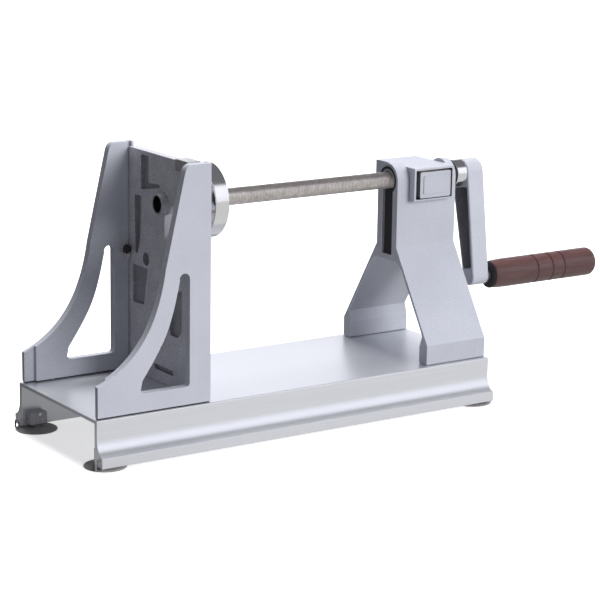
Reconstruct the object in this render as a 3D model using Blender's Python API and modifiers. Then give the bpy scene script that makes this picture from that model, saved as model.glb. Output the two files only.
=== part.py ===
"""Hand-cranked spiral vegetable cutter.

A blade plate slides down between two gussets. A lead screw, turned by a crank, runs through a
tower and presses the food against the plate with a spiked disc. A sprung button in the tower
frees the half nut, so that the screw can be pushed by hand.

Metres, +Z up, +X towards the crank. The origin is the centre of the footprint, on the surface
that the suction feet stand on. Positions below are measured from the middle of the base's
length; the MACHINE empty moves them to the origin.
"""
import math

import bmesh
import bpy
from mathutils import Matrix, Vector

GAP = 0.0003                  # clearance kept between pieces that touch

# Base extrusion
BASE_HALF_LENGTH = 0.200
BASE_HALF_WIDTH = 0.0694
BASE_TOP = 0.0415
BASE_PLATE = 0.003
SKIRT_WALL = 0.004
LIP_HALF_WIDTH = 0.0783
LIP_TOP = 0.012
LIP_BOTTOM = 0.003
COVE_TOP = 0.0260
FLOOR_OF_PARTS = BASE_TOP + GAP

# Suction feet
FOOT_RADIUS = 0.018
FOOT_X = 0.188
FOOT_Y = 0.0615
FOOT_DISC = LIP_BOTTOM - GAP
FOOT_NECK = 0.0032
FOOT_LOOP = 0.0034            # radius of the pull loop's centre line
FOOT_LOOP_TOP = 0.0085
FOOT_WIRE = 0.0008
BRACKET_BOTTOM = 0.0048
BRACKET_TOP = 0.0162
BRACKET_DEPTH = 0.0088
BRACKET_BORE = 0.008          # how far the neck goes up into its bracket
BRACKET_SCREW_Z = 0.0145

# Gussets
GUSSET_OUTER = 0.06775
GUSSET_INNER = 0.0605
GUSSET_STRIP_INNER = 0.06335  # inner face of the thin strip at the open end
GUSSET_BACK = -0.092
GUSSET_FRONT = -0.198
GUSSET_BOTTOM = 0.0427
GUSSET_TOP = 0.243
GROOVE = (-0.0982, -0.0938)   # vertical groove for the plate's tongue, along X
GROOVE_DEPTH = 0.0642
GUSSET_STRIP_END = -0.188
GUSSET_SCREW = 0.0015
GUSSET_SCREW_TOP = 0.0530
GUSSET_SCREWS = [(x, side * 0.0625) for x in (-0.172, -0.108) for side in (-1, 1)]
LINER_WALL = 0.0007
LATCH = (-0.1020, 0.1500)     # the latch's pivot, along X and up Z
LATCH_PIN = 0.0015
LATCH_THICKNESS = 0.0030
LATCH_PIN_END = 0.0652

# Blade plate
PLATE_FRONT = -0.097
PLATE_BACK = -0.0885
PLATE_TOP = 0.2386
PLATE_HALF_WIDTH = 0.0602
TONGUE_HALF_WIDTH = 0.0629
TONGUE_THICKNESS = 0.002
HUB_RADIUS = 0.0088
HUB_FRONT = -0.1044
CORER_RADIUS = 0.0072
CORER_BORE = 0.0062
CORER_BACK = -0.0855
WINDOW_Y = (-0.0540, -0.0003)
WINDOW_Z = (0.1688, 0.2000)
COMB_SLOT = ((-0.0525, -0.0105), (0.2020, 0.2058))
BLADE_SCREW = 0.0013
BLADE_SCREWS = [(-0.0180, 0.1620), (-0.0460, 0.1620)]
DIMPLE = (0.0313, 0.1452)
DIMPLE_RADIUS = 0.0057
DIMPLE_DEPTH = 0.004
DRAIN = (0.0060, 0.0745)
DRAIN_RADIUS = 0.0024
TAB_Y = (-0.0400, -0.0205)
TAB_WALL = 0.0012

# Lead screw and what it carries
AXIS_Z = 0.1988
SCREW_RADIUS = 0.00746
SCREW_START = -0.0602
ARM_TILT = math.radians(-10.4)
DISC_RADIUS = 0.0325
DISC_FRONT = -0.0662
DISC_BACK = -0.0524
SPIKE_TIP = -0.0842
SPIKE_CIRCLE = 0.021
SPIKE_COUNT = 6
RING_OUTER = SPIKE_CIRCLE + 0.0035
RING_INNER = SPIKE_CIRCLE - 0.0035
RING_SET = 0.0015
BOLT_RADIUS = 0.0033          # bore for the disc's bolt
BOLT_SINK = 0.0036            # depth of the bolt head's seat
BOLT_LENGTH = 0.014
SHAFT_RADIUS = 0.0062         # the screw's plain end, in the crank's hub
THREAD_END = 0.2010
BUMPER_END = 0.2030
COLLAR_RADIUS = 0.0125

# Crank
ARM_FRONT = 0.2143
ARM_BACK = 0.2325
ARM_LENGTH = 0.0964
ARM_HUB_RADIUS = 0.0125
ARM_END_RADIUS = 0.0078
ARM_WALL = 0.0024
GRIP_START = 0.2366
GRIP_END = 0.3595
GRIP_RADIUS = 0.0133
SPINDLE_RADIUS = 0.004
SPINDLE_END = 0.3500
FERRULE_END = 0.2384
GRIP_GROOVES = (0.3190, 0.3050, 0.2870)

# Tower
TOWER_FRONT = 0.1338
TOWER_BACK = 0.1983
TOWER_ARCH = 0.0152
TOWER_SLOT = 0.0077
TOWER_BORE = 0.0083
TOWER_SHOULDER = 0.13915
TOWER_KNEE = (0.06515, 0.05945)
TOWER_FOOT_INNER = 0.0535
TOWER_SLOT_BOTTOM = 0.131
TOWER_CEILING = 0.1265        # underside between the legs
TOWER_SCREW = 0.002
TOWER_SCREW_TOP = 0.0540
TOWER_SCREWS = [(x, side * 0.0592) for x in (0.146, 0.186) for side in (-1, 1)]
LEG_THICKNESS = 0.003

# Housing of the release
HOUSING_X = (0.1468, 0.1905)
HOUSING_NEAR = -0.0227
HOUSING_FAR = 0.0368
HOUSING_BOTTOM = 0.181
HOUSING_TOP = 0.211
HOUSING_BARREL = 0.186        # underside of the spring's barrel
HOUSING_SEAT = 0.0345         # floor of the spring cap's seat
RELEASE_TRAVEL = 0.004
POCKET_X = (0.1487, 0.1887)
POCKET_Z = (0.1827, 0.2088)
POCKET_FLOOR = -0.0108
BUTTON_Y = (-0.0222, -0.0155)
NUT_X = (0.156, 0.182)
NUT_NEAR = -0.0152
NUT_HALF_HEIGHT = 0.0097
NUT_FAR = 0.0192
NUT_BORE = 0.00776
SPRING_FAR = 0.0344
SPRING_RADIUS = 0.0044
SPRING_WIRE = 0.0005
SPRING_TURNS = 4

# Middle of the overall length, from the foot's rim to the end of the grip
FOOTPRINT_MIDDLE = (GRIP_END - FOOT_X - FOOT_RADIUS) / 2

COLOURS = {
    # material: (colour, roughness, metallic)
    "anodised": ((0.62, 0.64, 0.68), 0.40, 0.9),
    "cast": ((0.17, 0.18, 0.20), 0.50, 0.8),
    "polished": ((0.80, 0.80, 0.80), 0.15, 1.0),
    "steel": ((0.60, 0.60, 0.58), 0.30, 1.0),
    "nickel": ((0.45, 0.41, 0.36), 0.35, 1.0),
    "brass": ((0.60, 0.42, 0.16), 0.30, 1.0),
    "black": ((0.02, 0.02, 0.022), 0.45, 0.0),
    "grey": ((0.42, 0.42, 0.44), 0.5, 0.0),
    "rubber": ((0.34, 0.33, 0.32), 0.70, 0.0),
    "brown": ((0.11, 0.045, 0.04), 0.45, 0.0),
}


# ---------------------------------------------------------------- helpers

def clear_scene():
    for old in list(bpy.data.objects):
        bpy.data.objects.remove(old, do_unlink=True)


def new_collection(name):
    made = bpy.data.collections.new(name)
    bpy.context.scene.collection.children.link(made)
    return made


def make_materials():
    made = {}
    for name, (colour, roughness, metallic) in COLOURS.items():
        material = bpy.data.materials.new(name)
        material.use_nodes = True
        shader = material.node_tree.nodes["Principled BSDF"]
        shader.inputs["Base Color"].default_value = (*colour, 1.0)
        shader.inputs["Roughness"].default_value = roughness
        shader.inputs["Metallic"].default_value = metallic
        made[name] = material
    return made


def add_empty(name, location, parent=None, tilt=0.0):
    empty = bpy.data.objects.new(name, None)
    empty.location = location
    empty.rotation_euler = (tilt, 0.0, 0.0)
    empty.parent = parent
    PARTS.objects.link(empty)
    return empty


def add_mesh(name, mesh, parent):
    """Link a mesh as a part, round faces smooth, flat faces sharp."""
    mesh.name = name
    mesh.shade_smooth()
    mesh.set_sharp_from_angle(angle=math.radians(35))
    made = bpy.data.objects.new(name, mesh)
    made.parent = parent
    PARTS.objects.link(made)
    return made


def finish_bmesh(name, bm, parent):
    bmesh.ops.recalc_face_normals(bm, faces=bm.faces)
    mesh = bpy.data.meshes.new(name)
    bm.to_mesh(mesh)
    bm.free()
    return add_mesh(name, mesh, parent)


def box(name, x, y, z, parent):
    """A box between pairs of limits along each axis."""
    low = Vector((min(x), min(y), min(z)))
    high = Vector((max(x), max(y), max(z)))
    bm = bmesh.new()
    place = Matrix.Translation((low + high) / 2) @ Matrix.Diagonal((*(high - low), 1.0))
    bmesh.ops.create_cube(bm, size=1.0, matrix=place)
    return finish_bmesh(name, bm, parent)


def add_rod(bm, start, end, radius, tip_radius=None, segments=24):
    """A cylinder, or a cone where tip_radius is given, between two points."""
    start = Vector(start)
    along = Vector(end) - start
    turn = along.to_track_quat("Z", "Y").to_matrix().to_4x4()
    place = Matrix.Translation(start + along / 2) @ turn
    tip = radius if tip_radius is None else tip_radius
    bmesh.ops.create_cone(bm, cap_ends=True, segments=segments, radius1=radius, radius2=tip,
                          depth=along.length, matrix=place)


def rods(name, ends, radius, parent, tip_radius=None, segments=24):
    """Equal rods as one tool, each a separate solid."""
    bm = bmesh.new()
    for start, end in ends:
        add_rod(bm, start, end, radius, tip_radius, segments)
    return finish_bmesh(name, bm, parent)


def rod(name, start, end, radius, parent, segments=24):
    return rods(name, [(start, end)], radius, parent, segments=segments)


# Local axes of an outline's plane: first, second and thickness direction
PLANES = {
    "X": Matrix(((0, 0, 1, 0), (1, 0, 0, 0), (0, 1, 0, 0), (0, 0, 0, 1))),
    "Y": Matrix(((1, 0, 0, 0), (0, 0, -1, 0), (0, 1, 0, 0), (0, 0, 0, 1))),
    "Z": Matrix.Identity(4),
}


def outline(name, loops, axis, limits, parent):
    """A flat outline, with holes, given thickness along an axis between two limits."""
    curve = bpy.data.curves.new(name, "CURVE")
    curve.dimensions = "2D"
    curve.fill_mode = "BOTH"
    curve.extrude = abs(limits[1] - limits[0]) / 2
    for loop in loops:
        spline = curve.splines.new("POLY")
        spline.points.add(len(loop) - 1)
        for point, (across, up) in zip(spline.points, loop):
            point.co = (across, up, 0.0, 1.0)
        spline.use_cyclic_u = True
    drawn = bpy.data.objects.new(name + "_outline", curve)
    PARTS.objects.link(drawn)
    shift = Vector((0.0, 0.0, 0.0))
    shift["XYZ".index(axis)] = sum(limits) / 2
    drawn.matrix_world = Matrix.Translation(shift) @ PLANES[axis]
    bpy.context.view_layer.update()
    graph = bpy.context.evaluated_depsgraph_get()
    mesh = bpy.data.meshes.new_from_object(drawn.evaluated_get(graph))
    bm = bmesh.new()
    bm.from_mesh(mesh)
    bmesh.ops.transform(bm, matrix=drawn.matrix_world, verts=bm.verts)
    bmesh.ops.remove_doubles(bm, verts=bm.verts, dist=0.000001)
    bpy.data.objects.remove(drawn, do_unlink=True)
    bpy.data.curves.remove(curve)
    bpy.data.meshes.remove(mesh)
    return finish_bmesh(name, bm, parent)


def turned(name, profile, parent, ring=False, steps=32, direction="X", location=(0, 0, 0)):
    """Turn a profile of (position along the axis, radius), from the high end down."""
    mesh = bpy.data.meshes.new(name)
    corners = [(radius, 0.0, along) for along, radius in profile]
    edges = [(i, i + 1) for i in range(len(corners) - 1)]
    if ring:
        edges.append((len(corners) - 1, 0))
    mesh.from_pydata(corners, edges, [])
    made = bpy.data.objects.new(name, mesh)
    made.parent = parent
    made.location = location
    if direction == "X":
        made.rotation_euler = (0.0, math.pi / 2, 0.0)
    screw = made.modifiers.new("Turn", "SCREW")
    screw.steps = steps
    screw.render_steps = steps
    screw.use_merge_vertices = True
    screw.merge_threshold = 0.00001
    screw.use_smooth_shade = True
    PARTS.objects.link(made)
    return made


def make_tool(tool):
    """Move an object to the tools, which are never part of the machine."""
    PARTS.objects.unlink(tool)
    TOOLS.objects.link(tool)
    tool.hide_render = True
    tool.display_type = "WIRE"


def combine(target, tool, operation):
    modifier = target.modifiers.new(operation.title(), "BOOLEAN")
    modifier.operation = operation
    modifier.solver = "EXACT"
    modifier.object = tool
    make_tool(tool)


def cut(target, *tools):
    for tool in tools:
        combine(target, tool, "DIFFERENCE")


def unite(target, *tools):
    for tool in tools:
        combine(target, tool, "UNION")


def bevel(target, width, segments=1):
    modifier = target.modifiers.new("Edges", "BEVEL")
    modifier.width = width
    modifier.segments = segments
    modifier.limit_method = "ANGLE"
    modifier.angle_limit = math.radians(40)


def paint(material, *pieces):
    for piece in pieces:
        piece.data.materials.clear()
        own = MATERIALS[material].copy()
        own.name = piece.name
        piece.data.materials.append(own)


def arc(centre, radius, start, end, steps):
    """Points on an arc, angles in degrees, both ends included."""
    points = []
    for i in range(steps + 1):
        angle = math.radians(start + (end - start) * i / steps)
        points.append((centre[0] + radius * math.cos(angle), centre[1] + radius * math.sin(angle)))
    return points


def bezier(p0, p1, p2, p3, steps):
    points = []
    for i in range(steps + 1):
        t = i / steps
        s = 1 - t
        weights = (s ** 3, 3 * s * s * t, 3 * s * t * t, t ** 3)
        points.append(tuple(sum(w * p[k] for w, p in zip(weights, (p0, p1, p2, p3)))
                            for k in range(2)))
    return points


def mirrored(points):
    """The same points on the other side of the vertical centre line, in reverse order."""
    return [(-across, up) for across, up in reversed(points)]


# ---------------------------------------------------------------- base and feet

def skirt_outline():
    """Right half of the base's section, from the middle of the top down to the inside."""
    cove_wide = LIP_HALF_WIDTH - BASE_HALF_WIDTH
    cove_high = COVE_TOP - LIP_TOP
    cove = []
    for i in range(6):
        turn = math.radians(90 * i / 5)
        cove.append((BASE_HALF_WIDTH + cove_wide * (1 - math.cos(turn)),
                     COVE_TOP - cove_high * math.sin(turn)))
    inner = BASE_HALF_WIDTH - SKIRT_WALL
    corner = arc((BASE_HALF_WIDTH - 0.0012, BASE_TOP - 0.0012), 0.0012, 90, 0, 3)
    lip = [(LIP_HALF_WIDTH, LIP_BOTTOM), (inner, LIP_BOTTOM)]
    return corner + cove + lip + [(inner, BASE_TOP - BASE_PLATE)]


def make_base():
    half = skirt_outline()
    base = outline("base", [half + mirrored(half)], "X", (-BASE_HALF_LENGTH, BASE_HALF_LENGTH),
                   MACHINE)
    holes = [((x, y, BASE_TOP - 0.01), (x, y, BASE_TOP + 0.01))
             for x, y in GUSSET_SCREWS + TOWER_SCREWS]
    cut(base, rods("base_holes", holes, TOWER_SCREW + GAP, MACHINE, segments=12))
    paint("anodised", base)


def make_foot(name, side_x, side_y):
    """Suction disc with a neck that plugs into the base's bracket, and a pull loop."""
    place = add_empty(name + "_place", (side_x * FOOT_X, side_y * FOOT_Y, 0.0), MACHINE)
    neck_top = BRACKET_BOTTOM + BRACKET_BORE
    profile = [(neck_top, 0.0), (neck_top, FOOT_NECK), (FOOT_DISC, FOOT_NECK),
               (0.0016, FOOT_RADIUS - 0.001), (0.0008, FOOT_RADIUS), (0.0, FOOT_RADIUS),
               (0.0, 0.013), (0.0008, 0.0)]
    foot = turned(name, profile, place, steps=24, direction="Z")
    curve = bpy.data.curves.new(name + "_loop", "CURVE")
    curve.dimensions = "3D"
    curve.bevel_depth = FOOT_WIRE
    curve.bevel_resolution = 1
    curve.use_fill_caps = True
    spline = curve.splines.new("POLY")
    centre = (0.0, FOOT_LOOP_TOP - FOOT_LOOP)
    route = [(-FOOT_LOOP, 0.0009)] + arc(centre, FOOT_LOOP, 180, 0, 8)
    route.append((FOOT_LOOP, 0.0009))
    spline.points.add(len(route) - 1)
    for point, (across, up) in zip(spline.points, route):
        point.co = (across, 0.0, up, 1.0)
    drawn = bpy.data.objects.new(name + "_loop", curve)
    drawn.location = (side_x * 0.0148, side_y * 0.0075, 0.0)
    drawn.rotation_euler = (0.0, 0.0, math.radians(90))
    drawn.parent = place
    PARTS.objects.link(drawn)
    bpy.context.view_layer.update()
    graph = bpy.context.evaluated_depsgraph_get()
    mesh = bpy.data.meshes.new_from_object(drawn.evaluated_get(graph))
    bm = bmesh.new()
    bm.from_mesh(mesh)
    bmesh.ops.remove_doubles(bm, verts=bm.verts, dist=0.000001)
    loop = finish_bmesh(name + "_loop_solid", bm, None)
    loop.matrix_world = drawn.matrix_world
    bpy.data.objects.remove(drawn, do_unlink=True)
    bpy.data.curves.remove(curve)
    bpy.data.meshes.remove(mesh)
    unite(foot, loop)
    paint("rubber", foot)


def make_foot_brackets():
    """A block screwed to the inside of the skirt above each foot, which grips its neck."""
    inner = BASE_HALF_WIDTH - SKIRT_WALL - GAP
    for corner, side_x, side_y in CORNERS:
        x = side_x * FOOT_X
        near = side_y * inner
        far = side_y * (inner - BRACKET_DEPTH)
        block = box("foot_bracket_" + corner, (x - 0.008, x + 0.008), (near, far),
                    (BRACKET_BOTTOM, BRACKET_TOP), MACHINE)
        bevel(block, 0.001)
        y = side_y * FOOT_Y
        top = BRACKET_BOTTOM + BRACKET_BORE + GAP
        cut(block, rod("bracket_bore", (x, y, 0.0), (x, y, top), FOOT_NECK + GAP, MACHINE, 16))
        paint("cast", block)
        start = side_y * (inner - BRACKET_DEPTH - GAP)
        end = start - side_y * 0.0014
        screw = rod("foot_screw_" + corner, (x, start, BRACKET_SCREW_Z), (x, end, BRACKET_SCREW_Z),
                    0.0016, MACHINE, 16)
        bevel(screw, 0.0003)
        paint("steel", screw)


# ---------------------------------------------------------------- gussets

def gusset_outline():
    """Side view: straight back edge, rounded top corner, long slope and a sweeping front."""
    sweep = bezier((-0.1347, 0.1587), (-0.1417, 0.1152), (-0.1587, 0.0843), (-0.198, 0.0686), 10)
    top = [(GUSSET_BACK, GUSSET_BOTTOM), (GUSSET_BACK, GUSSET_TOP), (-0.1095, GUSSET_TOP),
           (-0.1133, 0.2418), (-0.1158, 0.2392), (-0.1172, 0.2345)]
    return top + sweep + [(GUSSET_FRONT, GUSSET_BOTTOM)]


def window_outline():
    """Long window with round corners, its front edge nearly parallel to the sweep."""
    sweep = bezier((-0.1215, 0.1482), (-0.1302, 0.1080), (-0.1343, 0.1005), (-0.1567, 0.0687), 8)
    top = arc((-0.1169, 0.1490), 0.0049, 0, 180, 6)
    heel = arc((-0.1545, 0.0618), 0.0038, 190, 270, 3)
    corner = arc((-0.1150, 0.0610), 0.0030, 270, 360, 3)
    return top[:-1] + sweep + heel + corner


def make_gusset(name, side):
    gusset = outline(name, [gusset_outline(), window_outline()], "Y",
                     (side * GUSSET_INNER, side * GUSSET_OUTER), MACHINE)
    bevel(gusset, 0.0006)
    strip = box(name + "_strip", (GUSSET_FRONT - 0.01, GUSSET_STRIP_END),
                (side * (GUSSET_INNER - 0.01), side * GUSSET_STRIP_INNER), (0.0, 0.3), MACHINE)
    groove = box(name + "_groove", GROOVE, (side * (GUSSET_INNER - 0.01), side * GROOVE_DEPTH),
                 (0.0, 0.3), MACHINE)
    holes = [((x, y, 0.03), (x, y, GUSSET_SCREW_TOP + 0.0005))
             for x, y in GUSSET_SCREWS if y * side > 0]
    cut(gusset, strip, groove, rods(name + "_holes", holes, GUSSET_SCREW + GAP, MACHINE,
                                    segments=10))
    if side > 0:
        pivot = ((LATCH[0], GUSSET_INNER - 0.01, LATCH[1]),
                 (LATCH[0], LATCH_PIN_END + GAP, LATCH[1]))
        cut(gusset, rods("latch_hole", [pivot], LATCH_PIN + GAP, MACHINE, segments=12))
    paint("anodised", gusset)


def make_gaskets():
    """Thin black strips between the gussets and the base."""
    for name, side in SIDES:
        low = FLOOR_OF_PARTS
        gasket = box("gasket_" + name, (GUSSET_FRONT + 0.0005, GUSSET_BACK - 0.0005),
                     (side * (GUSSET_INNER + 0.0004), side * (GUSSET_OUTER - 0.0006)),
                     (low, GUSSET_BOTTOM - GAP), MACHINE)
        holes = [((x, y, 0.03), (x, y, 0.06)) for x, y in GUSSET_SCREWS if y * side > 0]
        cut(gasket, rods(name + "_gasket_holes", holes, GUSSET_SCREW + GAP, MACHINE, segments=10))
        cut(gasket, box(name + "_gasket_step", (-0.3, GUSSET_STRIP_END),
                        (side * 0.05, side * GUSSET_STRIP_INNER), (0.0, 0.1), MACHINE))
        cut(gasket, box(name + "_gasket_groove", GROOVE, (side * 0.05, side * GROOVE_DEPTH),
                        (0.0, 0.1), MACHINE))
        paint("black", gasket)


def make_liners():
    """Plastic channels in the gussets' grooves, which guide the plate's tongues."""
    wall = LINER_WALL
    back = GROOVE_DEPTH - GAP
    front_x, back_x = GROOVE[0] + 0.00025, GROOVE[1] - 0.00025
    for name, side in SIDES:
        section = [(front_x, GUSSET_INNER), (front_x, back), (back_x, back),
                   (back_x, GUSSET_INNER), (back_x - wall, GUSSET_INNER),
                   (back_x - wall, back - wall), (front_x + wall, back - wall),
                   (front_x + wall, GUSSET_INNER)]
        loop = [(x, side * y) for x, y in section]
        liner = outline("guide_liner_" + name, [loop], "Z", (FLOOR_OF_PARTS, GUSSET_TOP - 0.0006),
                        MACHINE)
        paint("grey", liner)


def make_upright_screws(name, places, shank, head, head_height, top):
    """Pan-head screws driven up through the base plate."""
    face = BASE_TOP - BASE_PLATE - GAP
    profile = [(top, 0.0), (top, shank), (face, shank), (face, head),
               (face - head_height, head - 0.0005), (face - head_height, 0.0)]
    for number, (x, y) in enumerate(places, start=1):
        screw = turned("%s_%d" % (name, number), profile, MACHINE, steps=14, direction="Z",
                       location=(x, y, 0.0))
        paint("steel", screw)


# ---------------------------------------------------------------- tower

def tower_outline():
    """Section of the tower: an arch, straight cheeks, splayed legs and box feet."""
    knee_y, knee_z = TOWER_KNEE
    slope = Vector((knee_y - TOWER_ARCH, knee_z - TOWER_SHOULDER)).normalized()
    inward = Vector((slope.y, -slope.x)) * LEG_THICKNESS
    lower = Vector(TOWER_KNEE) + inward
    chamfer = lower - slope * 0.0105
    reach = (lower.y - (TOWER_CEILING - 0.006)) / slope.y
    upper = lower - slope * reach
    arch = arc((0.0, AXIS_Z), TOWER_ARCH, 90, 0, 8)
    outer = arch + [(TOWER_ARCH, TOWER_SHOULDER), TOWER_KNEE, (knee_y, FLOOR_OF_PARTS)]
    inner = [(TOWER_FOOT_INNER, FLOOR_OF_PARTS), (TOWER_FOOT_INNER, 0.0565),
             (chamfer.x, chamfer.y), (upper.x, upper.y), (upper.x - 0.0075, TOWER_CEILING)]
    right = outer + inner
    return right + mirrored(right)[:-1]


def slot_outline(half, radius, bottom):
    """Keyhole: a round bore on the screw's axis with a straight slot below it."""
    start = -math.degrees(math.acos(half / radius))
    bore = arc((0.0, AXIS_Z), radius, start, 180 - start, 20)
    return bore + [(-half, bottom), (half, bottom)]


def make_tower():
    hole = slot_outline(TOWER_SLOT, TOWER_BORE, TOWER_SLOT_BOTTOM)
    tower = outline("tower", [tower_outline(), hole], "X", (TOWER_FRONT, TOWER_BACK), MACHINE)
    bevel(tower, 0.0005)
    notch = box("tower_notch", (HOUSING_X[0] - GAP, HOUSING_X[1] + GAP), (-0.05, 0.05),
                (HOUSING_BOTTOM - GAP, 0.3), MACHINE)
    holes = [((x, y, 0.03), (x, y, TOWER_SCREW_TOP + 0.0005)) for x, y in TOWER_SCREWS]
    cut(tower, notch, rods("tower_holes", holes, TOWER_SCREW + GAP, MACHINE, segments=12))
    paint("anodised", tower)


def make_slot_insert():
    """Plastic filler of the tower's slot, with a round cradle under the screw."""
    half = TOWER_SLOT - GAP
    radius = 0.0078
    end = math.degrees(math.acos(half / radius))
    cradle = arc((0.0, AXIS_Z), radius, 180 + end, 360 - end, 10)
    bottom = TOWER_SLOT_BOTTOM + GAP
    insert = outline("slot_insert", [cradle + [(half, bottom), (-half, bottom)]], "X",
                     (TOWER_FRONT + 0.0028, TOWER_BACK - 0.002), MACHINE)
    cut(insert, box("insert_notch", (HOUSING_X[0] - GAP, HOUSING_X[1] + GAP), (-0.05, 0.05),
                    (HOUSING_BOTTOM - GAP, 0.3), MACHINE))
    paint("black", insert)


# ---------------------------------------------------------------- release

def make_housing():
    """Block across the tower's top: pocket for the button, bore for the screw, spring barrel."""
    section = [(HOUSING_NEAR, HOUSING_BOTTOM + 0.002), (HOUSING_NEAR + 0.002, HOUSING_BOTTOM),
               (0.0185, HOUSING_BOTTOM), (0.0225, HOUSING_BARREL),
               (HOUSING_FAR, HOUSING_BARREL),
               (HOUSING_FAR, HOUSING_TOP), (HOUSING_NEAR, HOUSING_TOP)]
    housing = outline("release_housing", [section], "X", HOUSING_X, MACHINE)
    bevel(housing, 0.0006)
    pocket = box("pocket", POCKET_X, (HOUSING_NEAR - 0.01, POCKET_FLOOR), POCKET_Z, MACHINE)
    cavity = box("cavity", (NUT_X[0] - GAP, NUT_X[1] + GAP),
                 (POCKET_FLOOR - 0.002, NUT_FAR + RELEASE_TRAVEL + 0.0006),
                 (AXIS_Z - NUT_HALF_HEIGHT - GAP, AXIS_Z + NUT_HALF_HEIGHT + GAP), MACHINE)
    middle = sum(HOUSING_X) / 2
    bore = rod("housing_bore", (HOUSING_X[0] - 0.01, 0, AXIS_Z), (HOUSING_X[1] + 0.01, 0, AXIS_Z),
               TOWER_BORE, MACHINE, 32)
    barrel = rod("housing_barrel", (middle, 0.02, AXIS_Z), (middle, 0.05, AXIS_Z),
                 SPRING_RADIUS + 0.0008, MACHINE, 20)
    seat = rod("housing_seat", (middle, HOUSING_SEAT, AXIS_Z), (middle, 0.05, AXIS_Z), 0.008,
               MACHINE, 24)
    cut(housing, pocket, cavity, bore, barrel, seat)
    paint("anodised", housing)
    cap = rod("spring_cap", (middle, HOUSING_SEAT + GAP, AXIS_Z), (middle, HOUSING_FAR, AXIS_Z),
              0.0077, MACHINE, 24)
    bevel(cap, 0.0004)
    slot = box("cap_slot", (middle - 0.005, middle + 0.005), (HOUSING_FAR - 0.0008, 0.05),
               (AXIS_Z - 0.0006, AXIS_Z + 0.0006), MACHINE)
    cut(cap, slot)
    paint("steel", cap)


def make_spring():
    """Coil between the half nut and the cap, drawn at its pressed length."""
    middle = sum(HOUSING_X) / 2
    start = NUT_FAR + RELEASE_TRAVEL + 0.0012
    per_turn = 10
    curve = bpy.data.curves.new("release_spring", "CURVE")
    curve.dimensions = "3D"
    curve.bevel_depth = SPRING_WIRE
    curve.bevel_resolution = 0
    curve.use_fill_caps = True
    radius = SPRING_RADIUS - SPRING_WIRE
    end = SPRING_FAR - SPRING_WIRE * 1.5
    count = SPRING_TURNS * per_turn
    spline = curve.splines.new("POLY")
    spline.points.add(count)
    for i, point in enumerate(spline.points):
        turn = 2 * math.pi * i / per_turn
        along = start + (end - start) * i / count
        point.co = (middle + radius * math.cos(turn), along, AXIS_Z + radius * math.sin(turn), 1.0)
    spring = bpy.data.objects.new("release_spring", curve)
    spring.parent = MACHINE
    PARTS.objects.link(spring)
    paint("steel", spring)


def make_release():
    """The button and the half nut that it moves along Y."""
    axis = add_empty("release_axis", (0.0, 0.0, AXIS_Z), MACHINE)
    low, high = POCKET_Z[0] + 0.0005 - AXIS_Z, POCKET_Z[1] - 0.0020 - AXIS_Z
    button = box("release_button", (POCKET_X[0] + 0.0055, POCKET_X[1] - 0.0006),
                 BUTTON_Y, (low, high), axis)
    bevel(button, 0.0012, segments=2)
    paint("anodised", button)
    reach = -0.0123
    hollow = arc((0.0, 0.0), NUT_BORE, -90, 90, 12)
    hollow += [(reach + 0.003, NUT_BORE), (reach, 0.0055), (reach, -0.0055),
               (reach + 0.003, -NUT_BORE)]
    ring = [(NUT_NEAR, -NUT_HALF_HEIGHT), (NUT_FAR, -NUT_HALF_HEIGHT), (NUT_FAR, NUT_HALF_HEIGHT),
            (NUT_NEAR, NUT_HALF_HEIGHT)]
    nut = outline("half_nut", [ring, hollow], "X", NUT_X, axis)
    paint("brass", nut)


# ---------------------------------------------------------------- blade plate

def plate_pockets():
    """Outlines of the blind pockets in the plate's front face, across Y and up Z."""
    ell = [(0.0265, 0.2350), (0.0395, 0.2350), (0.0395, 0.2045), (0.0080, 0.2105),
           (0.0080, 0.2135), (0.0265, 0.2120)]
    slot = [(0.0388, 0.1990), (0.0510, 0.1985), (0.0495, 0.1480), (0.0461, 0.1475),
            (0.0416, 0.1600)]
    lower = [(0.0285, 0.1370), (0.0540, 0.1370), (0.0540, 0.1035), (0.0349, 0.1045)]
    right = [(-0.0060, 0.1180), (-0.0290, 0.1300), (-0.0290, 0.0930), (-0.0220, 0.0870),
             (-0.0100, 0.0870)]
    foot = [(0.0170, 0.0565), (-0.0150, 0.0565), (-0.0150, 0.0520), (0.0170, 0.0520)]
    return {"ell": (ell, 0.003), "slot": (slot, 0.004), "lower": (lower, 0.0025),
            "right": (right, 0.003), "foot": (foot, 0.003)}


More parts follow.
